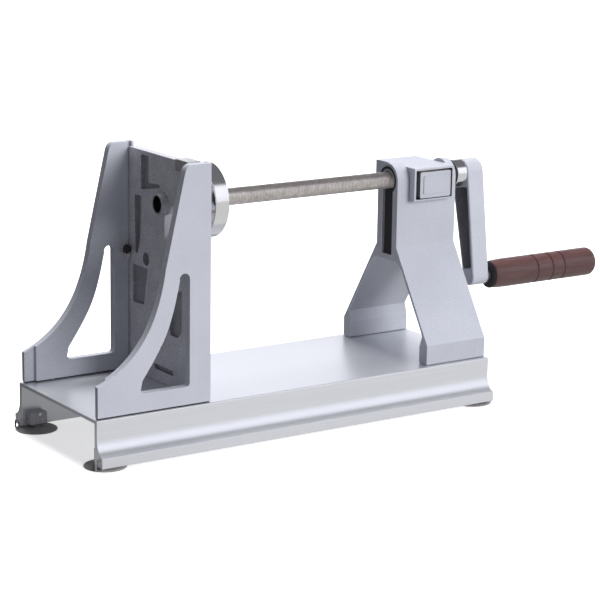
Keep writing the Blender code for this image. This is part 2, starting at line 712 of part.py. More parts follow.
def make_blade_plate():
    """The plate with its tongues, a hub round the corer, blind pockets and a blade opening."""
    tongue_back = PLATE_FRONT + TONGUE_THICKNESS
    half = [(PLATE_BACK, PLATE_HALF_WIDTH), (tongue_back, PLATE_HALF_WIDTH),
            (tongue_back, TONGUE_HALF_WIDTH), (PLATE_FRONT, TONGUE_HALF_WIDTH)]
    section = half + [(x, -y) for x, y in reversed(half)]
    plate = outline("blade_plate", [section], "Z", (FLOOR_OF_PARTS, PLATE_TOP), PLATE_SLIDE)
    for name, (loop, depth) in plate_pockets().items():
        cut(plate, outline("pocket_" + name, [loop], "X",
                           (PLATE_FRONT - 0.01, PLATE_FRONT + depth), PLATE_SLIDE))
    cut(plate, box("blade_window", (-0.2, 0), WINDOW_Y, WINDOW_Z, PLATE_SLIDE))
    hub = rod("plate_hub", (HUB_FRONT, 0, AXIS_Z), (PLATE_BACK - 0.001, 0, AXIS_Z), HUB_RADIUS,
              PLATE_SLIDE, 32)
    unite(plate, hub)
    cut(plate, rod("plate_bore", (-0.2, 0, AXIS_Z), (0, 0, AXIS_Z), CORER_RADIUS + GAP,
                   PLATE_SLIDE, 32))
    cut(plate, rod("plate_dimple", (-0.2, *DIMPLE), (PLATE_FRONT + DIMPLE_DEPTH, *DIMPLE),
                   DIMPLE_RADIUS, PLATE_SLIDE, 20))
    cut(plate, rod("plate_drain", (-0.2, *DRAIN), (0, *DRAIN), DRAIN_RADIUS, PLATE_SLIDE, 12))
    screws = [((-0.2, y, z), (0, y, z)) for y, z in BLADE_SCREWS]
    cut(plate, rods("blade_screw_holes", screws, BLADE_SCREW + GAP, PLATE_SLIDE, segments=10))
    cut(plate, box("comb_slot", (-0.0925, 0), *COMB_SLOT, PLATE_SLIDE))
    paint("cast", plate)


def make_blades():
    """Slicing blade under the opening, comb above it, and the tube that takes out the core."""
    back = PLATE_BACK + GAP
    section = [(back, 0.1560), (back + 0.0012, 0.1560), (back + 0.0012, 0.1690),
               (back + 0.0022, 0.1765), (back + 0.0019, 0.1768), (back, 0.1700)]
    blade = outline("slicing_blade", [section], "Y", (-0.0555, -0.0020), PLATE_SLIDE)
    screws = [((-0.1, y, z), (0, y, z)) for y, z in BLADE_SCREWS]
    cut(blade, rods("blade_holes", screws, BLADE_SCREW + GAP, PLATE_SLIDE, segments=10))
    paint("polished", blade)
    head = back + 0.0015
    profile = [(head + 0.0013, 0.0), (head + 0.0013, 0.0019), (head, 0.0024),
               (head, BLADE_SCREW), (PLATE_FRONT + 0.0005, BLADE_SCREW), (PLATE_FRONT + 0.0005, 0.0)]
    for number, (y, z) in enumerate(BLADE_SCREWS, start=1):
        screw = turned("blade_screw_%d" % number, profile, PLATE_SLIDE, steps=16,
                       location=(0.0, y, z))
        paint("steel", screw)
    teeth = [(-0.0522, 0.2023), (-0.0108, 0.2023), (-0.0108, 0.2055), (-0.0522, 0.2055)]
    comb = outline("comb_blade", [teeth], "X", (-0.0922, PLATE_BACK - 0.0002), PLATE_SLIDE)
    for i in range(7):
        y = -0.0498 + i * 0.0061
        unite(comb, box("comb_tooth_%d" % i, (-0.0900, PLATE_BACK + 0.0026), (y, y + 0.0012),
                        (0.2029, 0.2049), PLATE_SLIDE))
    paint("polished", comb)
    tube = [(CORER_BACK, CORER_BORE + 0.0002), (-0.0880, CORER_RADIUS),
            (HUB_FRONT + 0.0003, CORER_RADIUS), (HUB_FRONT + 0.0003, CORER_BORE),
            (-0.0880, CORER_BORE)]
    corer = turned("corer_tube", tube, CORER_AXIS, ring=True, steps=24)
    paint("polished", corer)


def make_pull_tab():
    """Plastic clip over the plate's top edge, to lift the plate by."""
    front = PLATE_FRONT - GAP
    back = PLATE_BACK + GAP
    top = PLATE_TOP + GAP
    bottom = top - 0.0089
    section = [(front - TAB_WALL, bottom), (front, bottom), (front, top), (back, top),
               (back, bottom), (back + 0.0022, bottom), (back + 0.0022, top + 0.0006),
               (back + 0.0016, top + TAB_WALL), (front - TAB_WALL + 0.0006, top + TAB_WALL),
               (front - TAB_WALL, top + 0.0006)]
    tab = outline("pull_tab", [section], "Y", TAB_Y, PLATE_SLIDE)
    bevel(tab, 0.0003)
    paint("grey", tab)


# ---------------------------------------------------------------- latch

def make_latch():
    """Small cam lever on the far gusset, which bears on the plate's front face."""
    x, z = LATCH
    pivot = add_empty("latch_axis", (x, 0.0, z), MACHINE)
    far = GUSSET_INNER - GAP
    nose = [(0.0020, -0.0098), (0.0047, -0.0076)]
    lever = outline("latch_lever", [arc((0.0, 0.0), 0.0038, 10, 230, 10) + nose], "Y",
                    (far - LATCH_THICKNESS, far), pivot)
    cut(lever, rod("lever_bore", (0.0, 0.0, 0.0), (0.0, 0.1, 0.0), LATCH_PIN + GAP, pivot, 12))
    paint("steel", lever)
    head_start = far - LATCH_THICKNESS - GAP
    pin = rod("latch_pin", (x, head_start - 0.0028, z), (x, head_start, z), 0.0040, MACHINE, 20)
    unite(pin, rod("latch_shank", (x, head_start - 0.0010, z), (x, LATCH_PIN_END, z),
                   LATCH_PIN, MACHINE, 12))
    paint("black", pin)


# ---------------------------------------------------------------- screw and disc

def make_screw():
    """Lead screw: blind hole for the disc's bolt, plain thinner end in the crank's hub."""
    end = ARM_BACK - 0.0045
    hole_end = SCREW_START + BOLT_LENGTH
    profile = [(end, 0.0), (end, 0.0032), (end - 0.004, SHAFT_RADIUS), (THREAD_END, SHAFT_RADIUS),
               (THREAD_END, SCREW_RADIUS), (SCREW_START + 0.0008, SCREW_RADIUS),
               (SCREW_START, SCREW_RADIUS - 0.0008), (SCREW_START, BOLT_RADIUS),
               (hole_end, BOLT_RADIUS), (hole_end, 0.0)]
    paint("nickel", turned("lead_screw", profile, CRANK_AXIS, steps=24))


def make_disc():
    """Holder disc with a bore for the screw's end, its bolt, and a ring of six spikes."""
    bore = SCREW_RADIUS + GAP
    floor = SCREW_START - GAP
    profile = [(DISC_BACK, bore), (DISC_BACK, DISC_RADIUS - 0.001),
               (DISC_BACK - 0.001, DISC_RADIUS), (DISC_FRONT + 0.001, DISC_RADIUS),
               (DISC_FRONT, DISC_RADIUS - 0.001), (DISC_FRONT, RING_OUTER + GAP),
               (DISC_FRONT + RING_SET, RING_OUTER + GAP), (DISC_FRONT + RING_SET, RING_INNER - GAP),
               (DISC_FRONT, RING_INNER - GAP), (DISC_FRONT, 0.0066),
               (DISC_FRONT + BOLT_SINK, 0.0066), (DISC_FRONT + BOLT_SINK, BOLT_RADIUS),
               (floor, BOLT_RADIUS), (floor, bore)]
    paint("polished", turned("holder_disc", profile, CRANK_AXIS, ring=True, steps=40))
    head = DISC_FRONT + BOLT_SINK - GAP
    end = SCREW_START + BOLT_LENGTH - 0.0004
    shank = BOLT_RADIUS - GAP
    bolt = [(end, 0.0), (end, shank), (head, shank), (head, 0.0062), (DISC_FRONT, 0.0062),
            (DISC_FRONT, 0.0)]
    paint("steel", turned("disc_bolt", bolt, CRANK_AXIS, steps=20))
    back = DISC_FRONT + RING_SET - GAP
    band = [(back, RING_OUTER), (DISC_FRONT - GAP, RING_OUTER), (DISC_FRONT - GAP, RING_INNER),
            (back, RING_INNER)]
    ring = turned("spike_ring", band, CRANK_AXIS, ring=True, steps=30)
    spikes = []
    for i in range(SPIKE_COUNT):
        turn = math.radians(360 / SPIKE_COUNT * i + 30)
        y, z = SPIKE_CIRCLE * math.cos(turn), SPIKE_CIRCLE * math.sin(turn)
        spikes.append(((back - 0.0004, y, z), (SPIKE_TIP, y, z)))
    unite(ring, rods("spike_cones", spikes, 0.0019, CRANK_AXIS, tip_radius=0.0002, segments=8))
    paint("steel", ring)


def make_collar():
    """Rubber bumper that slides with the screw, and the steel collar on its shaft."""
    shaft = SHAFT_RADIUS + GAP
    ring = [(BUMPER_END, COLLAR_RADIUS - 0.0006), (TOWER_BACK + GAP, COLLAR_RADIUS - 0.0006),
            (TOWER_BACK + GAP, SCREW_RADIUS + GAP), (BUMPER_END, SCREW_RADIUS + GAP)]
    paint("black", turned("bumper_ring", ring, SCREW_SLIDE, ring=True, steps=24))
    start, end = BUMPER_END + GAP, ARM_FRONT - GAP
    ring = [(end, COLLAR_RADIUS - 0.0008), (end - 0.0008, COLLAR_RADIUS),
            (start + 0.0008, COLLAR_RADIUS), (start, COLLAR_RADIUS - 0.0008), (start, shaft),
            (end, shaft)]
    paint("polished", turned("collar", ring, CRANK_AXIS, ring=True, steps=24))


# ---------------------------------------------------------------- crank

def arm_outline(hub, end, length, steps):
    """Two arcs and the straight flanks that touch both."""
    lean = math.degrees(math.asin((hub - end) / length))
    top = arc((0.0, 0.0), hub, -lean, 180 + lean, steps * 2)
    bottom = arc((0.0, -length), end, 180 + lean, 360 - lean, steps)
    return top + bottom


def make_arm():
    """Crank arm: solid hub and end, deep pocket in its front face, bores for shaft and spindle."""
    arm = outline("crank_arm", [arm_outline(ARM_HUB_RADIUS, ARM_END_RADIUS, ARM_LENGTH, 9)], "X",
                  (ARM_FRONT, ARM_BACK), CRANK_AXIS)
    bevel(arm, 0.0012, segments=2)
    top, bottom = -0.0138, -0.0885
    wide, narrow = ARM_HUB_RADIUS - ARM_WALL - 0.0006, ARM_END_RADIUS - ARM_WALL + 0.0004
    pocket = [(wide, top), (-wide, top), (-narrow, bottom), (narrow, bottom)]
    cut(arm, outline("arm_pocket", [pocket], "X", (ARM_FRONT - 0.01, ARM_BACK - 0.0035),
                     CRANK_AXIS))
    cut(arm, rod("arm_bore", (0.1, 0, 0), (0.3, 0, 0), SHAFT_RADIUS + GAP, CRANK_AXIS, 32))
    cut(arm, rod("arm_sink", (ARM_BACK - 0.0042, 0, 0), (0.3, 0, 0), 0.0085, CRANK_AXIS, 32))
    cut(arm, rod("spindle_bore", (ARM_FRONT + 0.004, 0, -ARM_LENGTH), (0.3, 0, -ARM_LENGTH),
                 SPINDLE_RADIUS + GAP, CRANK_AXIS, 20))
    paint("anodised", arm)
    cap = rod("arm_cap", (ARM_BACK - 0.0039, 0, 0), (ARM_BACK - 0.0004, 0, 0), 0.0082,
              CRANK_AXIS, 32)
    socket = rod("cap_socket", (ARM_BACK - 0.0024, 0, 0), (0.3, 0, 0), 0.0030, CRANK_AXIS, 6)
    cut(cap, socket)
    paint("steel", cap)


def make_grip():
    """Turning grip on its spindle: spindle with a shoulder, ferrule, and grooved handle."""
    shoulder = ARM_BACK + GAP
    start = ARM_FRONT + 0.0043
    spindle = [(SPINDLE_END, 0.0), (SPINDLE_END, SPINDLE_RADIUS),
               (GRIP_START - GAP, SPINDLE_RADIUS),
               (GRIP_START - GAP, 0.0065), (shoulder, 0.0065), (shoulder, SPINDLE_RADIUS),
               (start, SPINDLE_RADIUS), (start, 0.0)]
    paint("steel", turned("grip_spindle", spindle, ARM_END, steps=20))
    bore = SPINDLE_RADIUS + GAP
    ferrule = [(FERRULE_END, 0.0122), (GRIP_START + 0.0012, 0.0127), (GRIP_START, 0.0115),
               (GRIP_START, bore), (FERRULE_END, bore)]
    paint("black", turned("grip_ferrule", ferrule, ARM_END, ring=True, steps=24))
    start = FERRULE_END + GAP
    nose = arc((GRIP_END - 0.0055, GRIP_RADIUS - 0.0055), 0.0055, 0, 90, 4)
    profile = [(GRIP_END, 0.0)] + nose
    for groove in GRIP_GROOVES:
        profile += [(groove + 0.0009, GRIP_RADIUS), (groove, GRIP_RADIUS - 0.0007),
                    (groove - 0.0009, GRIP_RADIUS)]
    profile += [(start + 0.0120, GRIP_RADIUS), (start, 0.0124), (start, bore),
                (SPINDLE_END + 0.0005, bore), (SPINDLE_END + 0.0005, 0.0)]
    paint("brown", turned("grip", profile, ARM_END, steps=24))


# ---------------------------------------------------------------- the machine

clear_scene()
PARTS = new_collection("spiral_cutter")
TOOLS = new_collection("tools")
MATERIALS = make_materials()
MACHINE = add_empty("machine", (-FOOTPRINT_MIDDLE, 0.0, 0.0))
PLATE_SLIDE = add_empty("plate_slide", (0.0, 0.0, 0.0), MACHINE)
CORER_AXIS = add_empty("corer_axis", (0.0, 0.0, AXIS_Z), PLATE_SLIDE)
SCREW_SLIDE = add_empty("screw_slide", (0.0, 0.0, AXIS_Z), MACHINE)
CRANK_AXIS = add_empty("crank_axis", (0.0, 0.0, 0.0), SCREW_SLIDE, ARM_TILT)
ARM_END = add_empty("grip_axis", (0.0, 0.0, -ARM_LENGTH), CRANK_AXIS)
SIDES = [("near", -1), ("far", 1)]
CORNERS = [("front_near", -1, -1), ("front_far", -1, 1), ("back_near", 1, -1), ("back_far", 1, 1)]

make_base()
for corner_name, sign_x, sign_y in CORNERS:
    make_foot("foot_" + corner_name, sign_x, sign_y)
make_foot_brackets()
for side_name, sign in SIDES:
    make_gusset("gusset_" + side_name, sign)
make_gaskets()
make_liners()
make_upright_screws("gusset_screw", GUSSET_SCREWS, GUSSET_SCREW, 0.0026, 0.0022,
                    GUSSET_SCREW_TOP)
make_tower()
make_slot_insert()
make_upright_screws("tower_screw", TOWER_SCREWS, TOWER_SCREW, 0.0036, 0.0030, TOWER_SCREW_TOP)
make_housing()
make_spring()
make_release()
make_blade_plate()
make_blades()
make_pull_tab()
make_latch()
make_screw()
make_disc()
make_collar()
make_arm()
make_grip()
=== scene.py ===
"""Looks of the hand-cranked spiral vegetable cutter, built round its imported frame.

Pieces are drawn in the machine's frame: metres, +X towards the crank, the origin under the
middle of the base's length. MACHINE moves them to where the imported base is. What the crank
carries is drawn about the screw's axis, with the arm hanging straight down.
"""
import math

import bmesh
import bpy
from mathutils import Matrix, Vector


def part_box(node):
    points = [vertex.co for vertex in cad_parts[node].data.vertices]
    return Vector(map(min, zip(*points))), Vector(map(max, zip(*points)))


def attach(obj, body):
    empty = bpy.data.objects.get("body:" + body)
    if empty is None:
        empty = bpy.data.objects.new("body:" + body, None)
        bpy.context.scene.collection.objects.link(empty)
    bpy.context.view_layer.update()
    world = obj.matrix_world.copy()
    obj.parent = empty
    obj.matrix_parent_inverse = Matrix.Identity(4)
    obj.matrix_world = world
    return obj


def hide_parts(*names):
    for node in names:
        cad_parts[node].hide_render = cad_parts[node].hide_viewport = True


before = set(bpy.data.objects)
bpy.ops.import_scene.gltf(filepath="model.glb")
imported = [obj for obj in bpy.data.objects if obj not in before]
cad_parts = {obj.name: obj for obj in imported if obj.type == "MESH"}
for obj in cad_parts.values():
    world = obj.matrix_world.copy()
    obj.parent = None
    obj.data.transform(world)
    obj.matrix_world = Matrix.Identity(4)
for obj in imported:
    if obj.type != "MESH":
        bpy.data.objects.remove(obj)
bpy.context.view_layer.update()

# ---------------------------------------------------------------- sizes, as in the CAD

BASE_LOW, BASE_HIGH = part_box("base")
BASE_HALF_LENGTH = (BASE_HIGH.x - BASE_LOW.x) / 2
BASE_TOP = BASE_HIGH.z
BASE_HALF_WIDTH = 0.0694
BASE_PLATE = 0.003
SKIRT_WALL = 0.004
LIP_HALF_WIDTH = BASE_HIGH.y
LIP_TOP = 0.012
LIP_BOTTOM = BASE_LOW.z
COVE_TOP = 0.0260

FOOT_RADIUS = 0.018
FOOT_X = 0.188
FOOT_Y = 0.0615

GUSSET_OUTER = 0.06775
GUSSET_INNER = 0.0605
GUSSET_STRIP_INNER = 0.06335
GUSSET_BACK = -0.092
GUSSET_FRONT = -0.198
GUSSET_BOTTOM = 0.0427
GUSSET_TOP = 0.243
GROOVE_X = (-0.0982, -0.0938)
GROOVE_DEPTH = 0.0642

PLATE_FRONT = -0.097
PLATE_BACK = -0.0885
PLATE_BOTTOM = 0.0418
PLATE_TOP = 0.2386
PLATE_HALF_WIDTH = 0.0602
TONGUE_HALF_WIDTH = 0.0629
WINDOW_Y = (-0.0540, -0.0003)
WINDOW_Z = (0.1688, 0.2000)
COMB_SLOT_Y = (-0.0525, -0.0105)
COMB_SLOT_Z = (0.2020, 0.2058)
HUB_RADIUS = 0.0088
HUB_FRONT = -0.1044
CORER_RADIUS = 0.0072

AXIS_Z = 0.1988
SCREW_RADIUS = 0.00746
SCREW_START = -0.0602
DISC_RADIUS = 0.0325
DISC_FRONT = -0.0662
DISC_BACK = -0.0524
SPIKE_TIP = -0.0842
SPIKE_CIRCLE = 0.021
COLLAR_RADIUS = 0.0125
BUMPER_END = 0.2030
SHAFT_RADIUS = 0.0062
SHAFT_BORE = 0.0065

LATCH_PLACE = (-0.1020, 0.0, 0.1500)

ARM_TILT = math.radians(-10.4)
ARM_FRONT = 0.2143
ARM_BACK = 0.2325
ARM_LENGTH = 0.0964
ARM_HUB_RADIUS = 0.0125
ARM_END_RADIUS = 0.0078
CAP_RADIUS = 0.0082
SPINDLE_RADIUS = 0.0040
SPINDLE_BORE = 0.0043
SPINDLE_END = 0.3500
GRIP_START = 0.2366
GRIP_END = 0.3595
GRIP_RADIUS = 0.0133
FERRULE_END = 0.2384

TOWER_FRONT = 0.1338
TOWER_BACK = 0.1983
TOWER_ARCH = 0.0152
TOWER_SLOT = 0.0077
TOWER_BORE = 0.0083
TOWER_SHOULDER = 0.13915
TOWER_KNEE = (0.06515, 0.05945)
HOUSING_X = (0.1468, 0.1905)
HOUSING_Y = (-0.0227, 0.0368)
HOUSING_Z = (0.181, 0.211)
POCKET_X = (0.1487, 0.1887)
POCKET_Z = (0.1827, 0.2088)

MACHINE = Matrix.Translation(((BASE_LOW.x + BASE_HIGH.x) / 2, 0.0, 0.0))
SCREW = MACHINE @ Matrix.Translation((0.0, 0.0, AXIS_Z))
CRANK = SCREW @ Matrix.Rotation(ARM_TILT, 4, "X")
ARM_END = CRANK @ Matrix.Translation((0.0, 0.0, -ARM_LENGTH))
SIDES = (("near", -1), ("far", 1))
CLEARANCE = 0.0003  # CLEARANCE between two pieces that meet
PAST = 0.01  # how far a cutter reaches past the face it enters
SKIN = 0.0001  # slack when faces are picked by where their centre is
WELD_DISTANCE = 0.000001  # for a curve's doubled vertices
BOOLEAN_WELD = 0.00001  # for vertices that a boolean leaves a hair apart


# ---------------------------------------------------------------- shapes

def link(name, mesh):
    made = bpy.data.objects.new(name, mesh)
    bpy.context.scene.collection.objects.link(made)
    return made


def from_bmesh(name, bm):
    bmesh.ops.recalc_face_normals(bm, faces=bm.faces)
    mesh = bpy.data.meshes.new(name)
    bm.to_mesh(mesh)
    bm.free()
    return link(name, mesh)


def box(name, x, y, z):
    low = Vector((min(x), min(y), min(z)))
    high = Vector((max(x), max(y), max(z)))
    bm = bmesh.new()
    place = Matrix.Translation((low + high) / 2) @ Matrix.Diagonal((*(high - low), 1.0))
    bmesh.ops.create_cube(bm, size=1.0, matrix=place)
    return from_bmesh(name, bm)


def rod(name, start, end, radius, tip_radius=None, segments=48):
    bm = bmesh.new()
    add_rod(bm, start, end, radius, tip_radius, segments)
    return from_bmesh(name, bm)


def add_rod(bm, start, end, radius, tip_radius=None, segments=48):
    start = Vector(start)
    along = Vector(end) - start
    turn = along.to_track_quat("Z", "Y").to_matrix().to_4x4()
    tip = radius if tip_radius is None else tip_radius
    bmesh.ops.create_cone(bm, cap_ends=True, segments=segments, radius1=radius, radius2=tip,
                          depth=along.length, matrix=Matrix.Translation(start + along / 2) @ turn)


# Local axes of an outline's plane: first, second and thickness direction
PLANES = {
    "X": Matrix(((0, 0, 1, 0), (1, 0, 0, 0), (0, 1, 0, 0), (0, 0, 0, 1))),
    "Y": Matrix(((1, 0, 0, 0), (0, 0, -1, 0), (0, 1, 0, 0), (0, 0, 0, 1))),
    "Z": Matrix.Identity(4),
}


def evaluated_mesh(made):
    """A new mesh of the object with its modifiers, or its curve's fill, applied."""
    bpy.context.view_layer.update()
    graph = bpy.context.evaluated_depsgraph_get()
    return bpy.data.meshes.new_from_object(made.evaluated_get(graph))


def solid_from_curve(name, curve, place, flat=False):
    """Turn a curve into a closed mesh and put it in place; flat joins up flat faces."""
    drawn = link(name + "_drawn", curve)
    mesh = evaluated_mesh(drawn)
    bm = bmesh.new()
    bm.from_mesh(mesh)
    bmesh.ops.transform(bm, matrix=place, verts=bm.verts)
    bmesh.ops.remove_doubles(bm, verts=bm.verts, dist=WELD_DISTANCE)
    if flat:
        bmesh.ops.dissolve_limit(bm, angle_limit=0.0005, verts=bm.verts, edges=bm.edges)
    bpy.data.objects.remove(drawn, do_unlink=True)
    bpy.data.curves.remove(curve)
    bpy.data.meshes.remove(mesh)
    return from_bmesh(name, bm)


def add_line(curve, points, closed):
    spline = curve.splines.new("POLY")
    spline.points.add(len(points) - 1)
    for point, place in zip(spline.points, points):
        point.co = (*place, 1.0)
    spline.use_cyclic_u = closed


def outline(name, loops, axis, limits):
    """A flat outline, with holes, given thickness along an axis between two limits."""
    curve = bpy.data.curves.new(name, "CURVE")
    curve.dimensions = "2D"
    curve.fill_mode = "BOTH"
    curve.extrude = abs(limits[1] - limits[0]) / 2
    for loop in loops:
        add_line(curve, [(across, up, 0.0) for across, up in loop], True)
    shift = Vector((0.0, 0.0, 0.0))
    shift["XYZ".index(axis)] = sum(limits) / 2
    return solid_from_curve(name, curve, Matrix.Translation(shift) @ PLANES[axis], flat=True)


def turned(name, profile, closed=False, steps=96, direction="X"):
    """Turn a profile of (position along the axis, radius) about the local axis."""
    bm = bmesh.new()
    rings = []
    for along, radius in profile:
        ring = []
        for k in range(steps if radius > 0 else 1):
            turn = 2 * math.pi * k / steps
            flat = (radius * math.cos(turn), radius * math.sin(turn))
            ring.append(bm.verts.new((along, *flat) if direction == "X" else (*flat, along)))
        rings.append(ring)
    pairs = list(zip(rings, rings[1:]))
    if closed:
        pairs.append((rings[-1], rings[0]))
    for first, second in pairs:
        for k in range(steps):
            after = (k + 1) % steps
            corners = [first[k % len(first)], first[after % len(first)],
                       second[after % len(second)], second[k % len(second)]]
            bm.faces.new(list(dict.fromkeys(corners)))
    return from_bmesh(name, bm)


def combine(target, tool, operation):
    modifier = target.modifiers.new(operation.title(), "BOOLEAN")
    modifier.operation = operation
    modifier.solver = "EXACT"
    modifier.object = tool
    tool.hide_render = True


def cut(target, *tools):
    for tool in tools:
        combine(target, tool, "DIFFERENCE")


def unite(target, *tools):
    for tool in tools:
        combine(target, tool, "UNION")


def bevel(target, width, segments=3, angle=40, painted_highlight=False):
    """Round the edges; if asked, the rounded faces take the piece's second material, a lighter
    colour that paints a highlight along the edges.
    """
    modifier = target.modifiers.new("Edges", "BEVEL")
    if painted_highlight:
        modifier.material = 1
    modifier.width = width
    modifier.segments = segments
    modifier.limit_method = "ANGLE"
    modifier.angle_limit = math.radians(angle)


def bake(target):
    """Apply the modifiers and remove the cutters."""
    mesh = evaluated_mesh(target)
    tools = [m.object for m in target.modifiers if m.type == "BOOLEAN"]
    target.modifiers.clear()
    target.data = mesh
    mesh.name = target.name
    for tool in tools:
        bpy.data.objects.remove(tool, do_unlink=True)


def repaint(made, index, chosen):
    """Give one of the piece's other materials to the faces whose centre is chosen."""
    for face in made.data.polygons:
        if chosen(*face.center):
            face.material_index = index


def piece(made, nodes, body, material, place=MACHINE, sharp=38):
    """Finish a piece: bake it, shade it, put it in place, hang it on its body and hide the nodes
    it stands for.
    """
    made.data.materials.clear()
    for each in (material if isinstance(material, tuple) else (material,)):
        made.data.materials.append(each)
    bake(made)
    made.data.shade_smooth()
    made.data.set_sharp_from_angle(angle=math.radians(sharp))
    weighted = made.modifiers.new("Normals", "WEIGHTED_NORMAL")
    weighted.keep_sharp = True
    made.matrix_world = place
    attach(made, body)
    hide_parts(*nodes)
    return made


def arc(centre, radius, start, end, steps):
    points = []
    for i in range(steps + 1):
        angle = math.radians(start + (end - start) * i / steps)
        points.append((centre[0] + radius * math.cos(angle), centre[1] + radius * math.sin(angle)))
    return points


def bezier(p0, p1, p2, p3, steps):
    points = []
    for i in range(steps + 1):
        t = i / steps
        s = 1 - t
        weights = (s ** 3, 3 * s * s * t, 3 * s * t * t, t ** 3)
        points.append(tuple(sum(w * p[k] for w, p in zip(weights, (p0, p1, p2, p3)))
                            for k in range(2)))
    return points


def filleted(points, radius, steps=4, closed=True):
    """The same line with its corners rounded; the ends of an open line stay."""
    count = len(points)
    made = []
    for i, point in enumerate(points):
        if not closed and i in (0, count - 1):
            made.append(tuple(point))
            continue
        corner = Vector(point)
        before = Vector(points[i - 1]) - corner
        after = Vector(points[(i + 1) % count]) - corner
        half = before.angle(after) / 2
        if half > math.radians(86):
            made.append(tuple(point))
            continue
        reach = min(radius / math.tan(half), 0.45 * before.length, 0.45 * after.length)
        start = corner + before.normalized() * reach
        end = corner + after.normalized() * reach
        for k in range(steps + 1):
            t = k / steps
            spot = start * (1 - t) ** 2 + corner * 2 * t * (1 - t) + end * t * t
            made.append(tuple(spot))
    return made


def mirrored(points):
    return [(-across, up) for across, up in reversed(points)]


# ---------------------------------------------------------------- materials

def add_node(tree, kind, inputs, **settings):
    """Add a shader node; each input takes a value or another node's output."""
    node = tree.nodes.new(kind)
    for name, value in settings.items():
        setattr(node, name, value)
    for socket, value in inputs.items():
        if isinstance(value, bpy.types.NodeSocket):
            tree.links.new(value, node.inputs[socket])
        else:
            node.inputs[socket].default_value = value
    return node


def add_ramp(tree, value, stops):
    node = add_node(tree, "ShaderNodeValToRGB", {"Fac": value})
    elements = node.color_ramp.elements
    while len(elements) < len(stops):
        elements.new(0.5)
    for element, (position, colour) in zip(elements, stops):
        element.position = position
        element.color = (*colour, 1.0)
    return node.outputs["Color"]


def map_range(tree, value, source, target):
    node = add_node(tree, "ShaderNodeMapRange", {
        "Value": value, "From Min": source[0], "From Max": source[1],
        "To Min": target[0], "To Max": target[1]})
    return node.outputs["Result"]


def maths(tree, operation, first, second=0.0):
    node = add_node(tree, "ShaderNodeMath", {0: first, 1: second}, operation=operation)
    return node.outputs["Value"]


class Surface:
    """One procedural material: a Principled shader and the textures that drive it."""

    def __init__(self, name, metallic=0.0):
        self.material = bpy.data.materials.new(name)
        self.material.use_nodes = True
        self.tree = self.material.node_tree
        self.shader = self.tree.nodes["Principled BSDF"]
        self.shader.inputs["Metallic"].default_value = metallic
        self.place = add_node(self.tree, "ShaderNodeTexCoord", {}).outputs["Object"]

    def noise(self, scale, detail=2.0, stretch=None, roughness=0.5):
        source = self.place
        if stretch:
            source = add_node(self.tree, "ShaderNodeMapping",
                              {"Vector": source, "Scale": stretch}).outputs["Vector"]
        node = add_node(self.tree, "ShaderNodeTexNoise", {
            "Vector": source, "Scale": scale, "Detail": detail, "Roughness": roughness})
        return node.outputs["Fac"]

    def ramp(self, value, stops):
        return add_ramp(self.tree, value, stops)

    def spread(self, value, low, high, source=(0.3, 0.7)):
        return map_range(self.tree, value, source, (low, high))

    def sum(self, first, second, share):
        """The first value and a share of the second."""
        return maths(self.tree, "ADD", first, maths(self.tree, "MULTIPLY", second, share))

    def mixed(self, factor, first, second, blend="MIX"):
        if isinstance(second, tuple):
            second = (*second, 1.0)
        node = add_node(self.tree, "ShaderNodeMix", {"Factor": factor, "A": first, "B": second},
                        data_type="RGBA", blend_type=blend)
        return node.outputs["Result"]

    def radius(self):
        """Distance from the local X axis."""
        split = add_node(self.tree, "ShaderNodeSeparateXYZ", {"Vector": self.place})
        squares = [maths(self.tree, "MULTIPLY", split.outputs[axis], split.outputs[axis])
                   for axis in "YZ"]
        return maths(self.tree, "SQRT", maths(self.tree, "ADD", *squares))

    def drive(self, socket, value):
        self.tree.links.new(value, self.shader.inputs[socket])

    def bump(self, height, strength, distance):
        node = add_node(self.tree, "ShaderNodeBump", {
            "Height": height, "Strength": strength, "Distance": distance})
        self.drive("Normal", node.outputs["Normal"])


def scaled(colour, factor):
    return tuple(channel * factor for channel in colour)


def speckled(name, colour, contrast=0.09, roughness=(0.40, 0.52), metallic=0.25):
    """Fine metallic paint: small light and dark flecks over faint clouds."""
    surface = Surface(name, metallic=metallic)
    fleck = surface.noise(1300.0, 3.0, roughness=0.65)
    cloud = surface.noise(28.0, 3.0)
    dark, light = scaled(colour, 1 - contrast), scaled(colour, 1 + contrast)
    flecks = surface.ramp(fleck, [(0.34, dark), (0.5, colour), (0.66, light)])
    clouds = surface.ramp(cloud, [(0.3, (0.94, 0.94, 0.95)), (0.7, (1.0, 1.0, 1.0))])
    surface.drive("Base Color", surface.mixed(1.0, flecks, clouds, "MULTIPLY"))
    surface.drive("Roughness", surface.spread(fleck, *roughness))
    surface.bump(fleck, 0.2, 0.00004)
    return surface.material


def extruded(name, colour, roughness=(0.30, 0.42), metallic=0.75):
    """Satin anodised extrusion: long drawing lines along X over a fine grain."""
    surface = Surface(name, metallic=metallic)
    lines = surface.noise(1.0, 4.0, stretch=(6.0, 700.0, 700.0), roughness=0.6)
    grain = surface.noise(1500.0, 2.0)
    tint = surface.ramp(lines, [(0.3, scaled(colour, 0.97)), (0.7, scaled(colour, 1.02))])
    grains = surface.ramp(grain, [(0.3, (0.95, 0.95, 0.95)), (0.7, (1.0, 1.0, 1.0))])
    surface.drive("Base Color", surface.mixed(1.0, tint, grains, "MULTIPLY"))
    surface.drive("Roughness", surface.spread(lines, *roughness))
    surface.bump(surface.sum(lines, grain, 0.4), 0.1, 0.00003)
    return surface.material


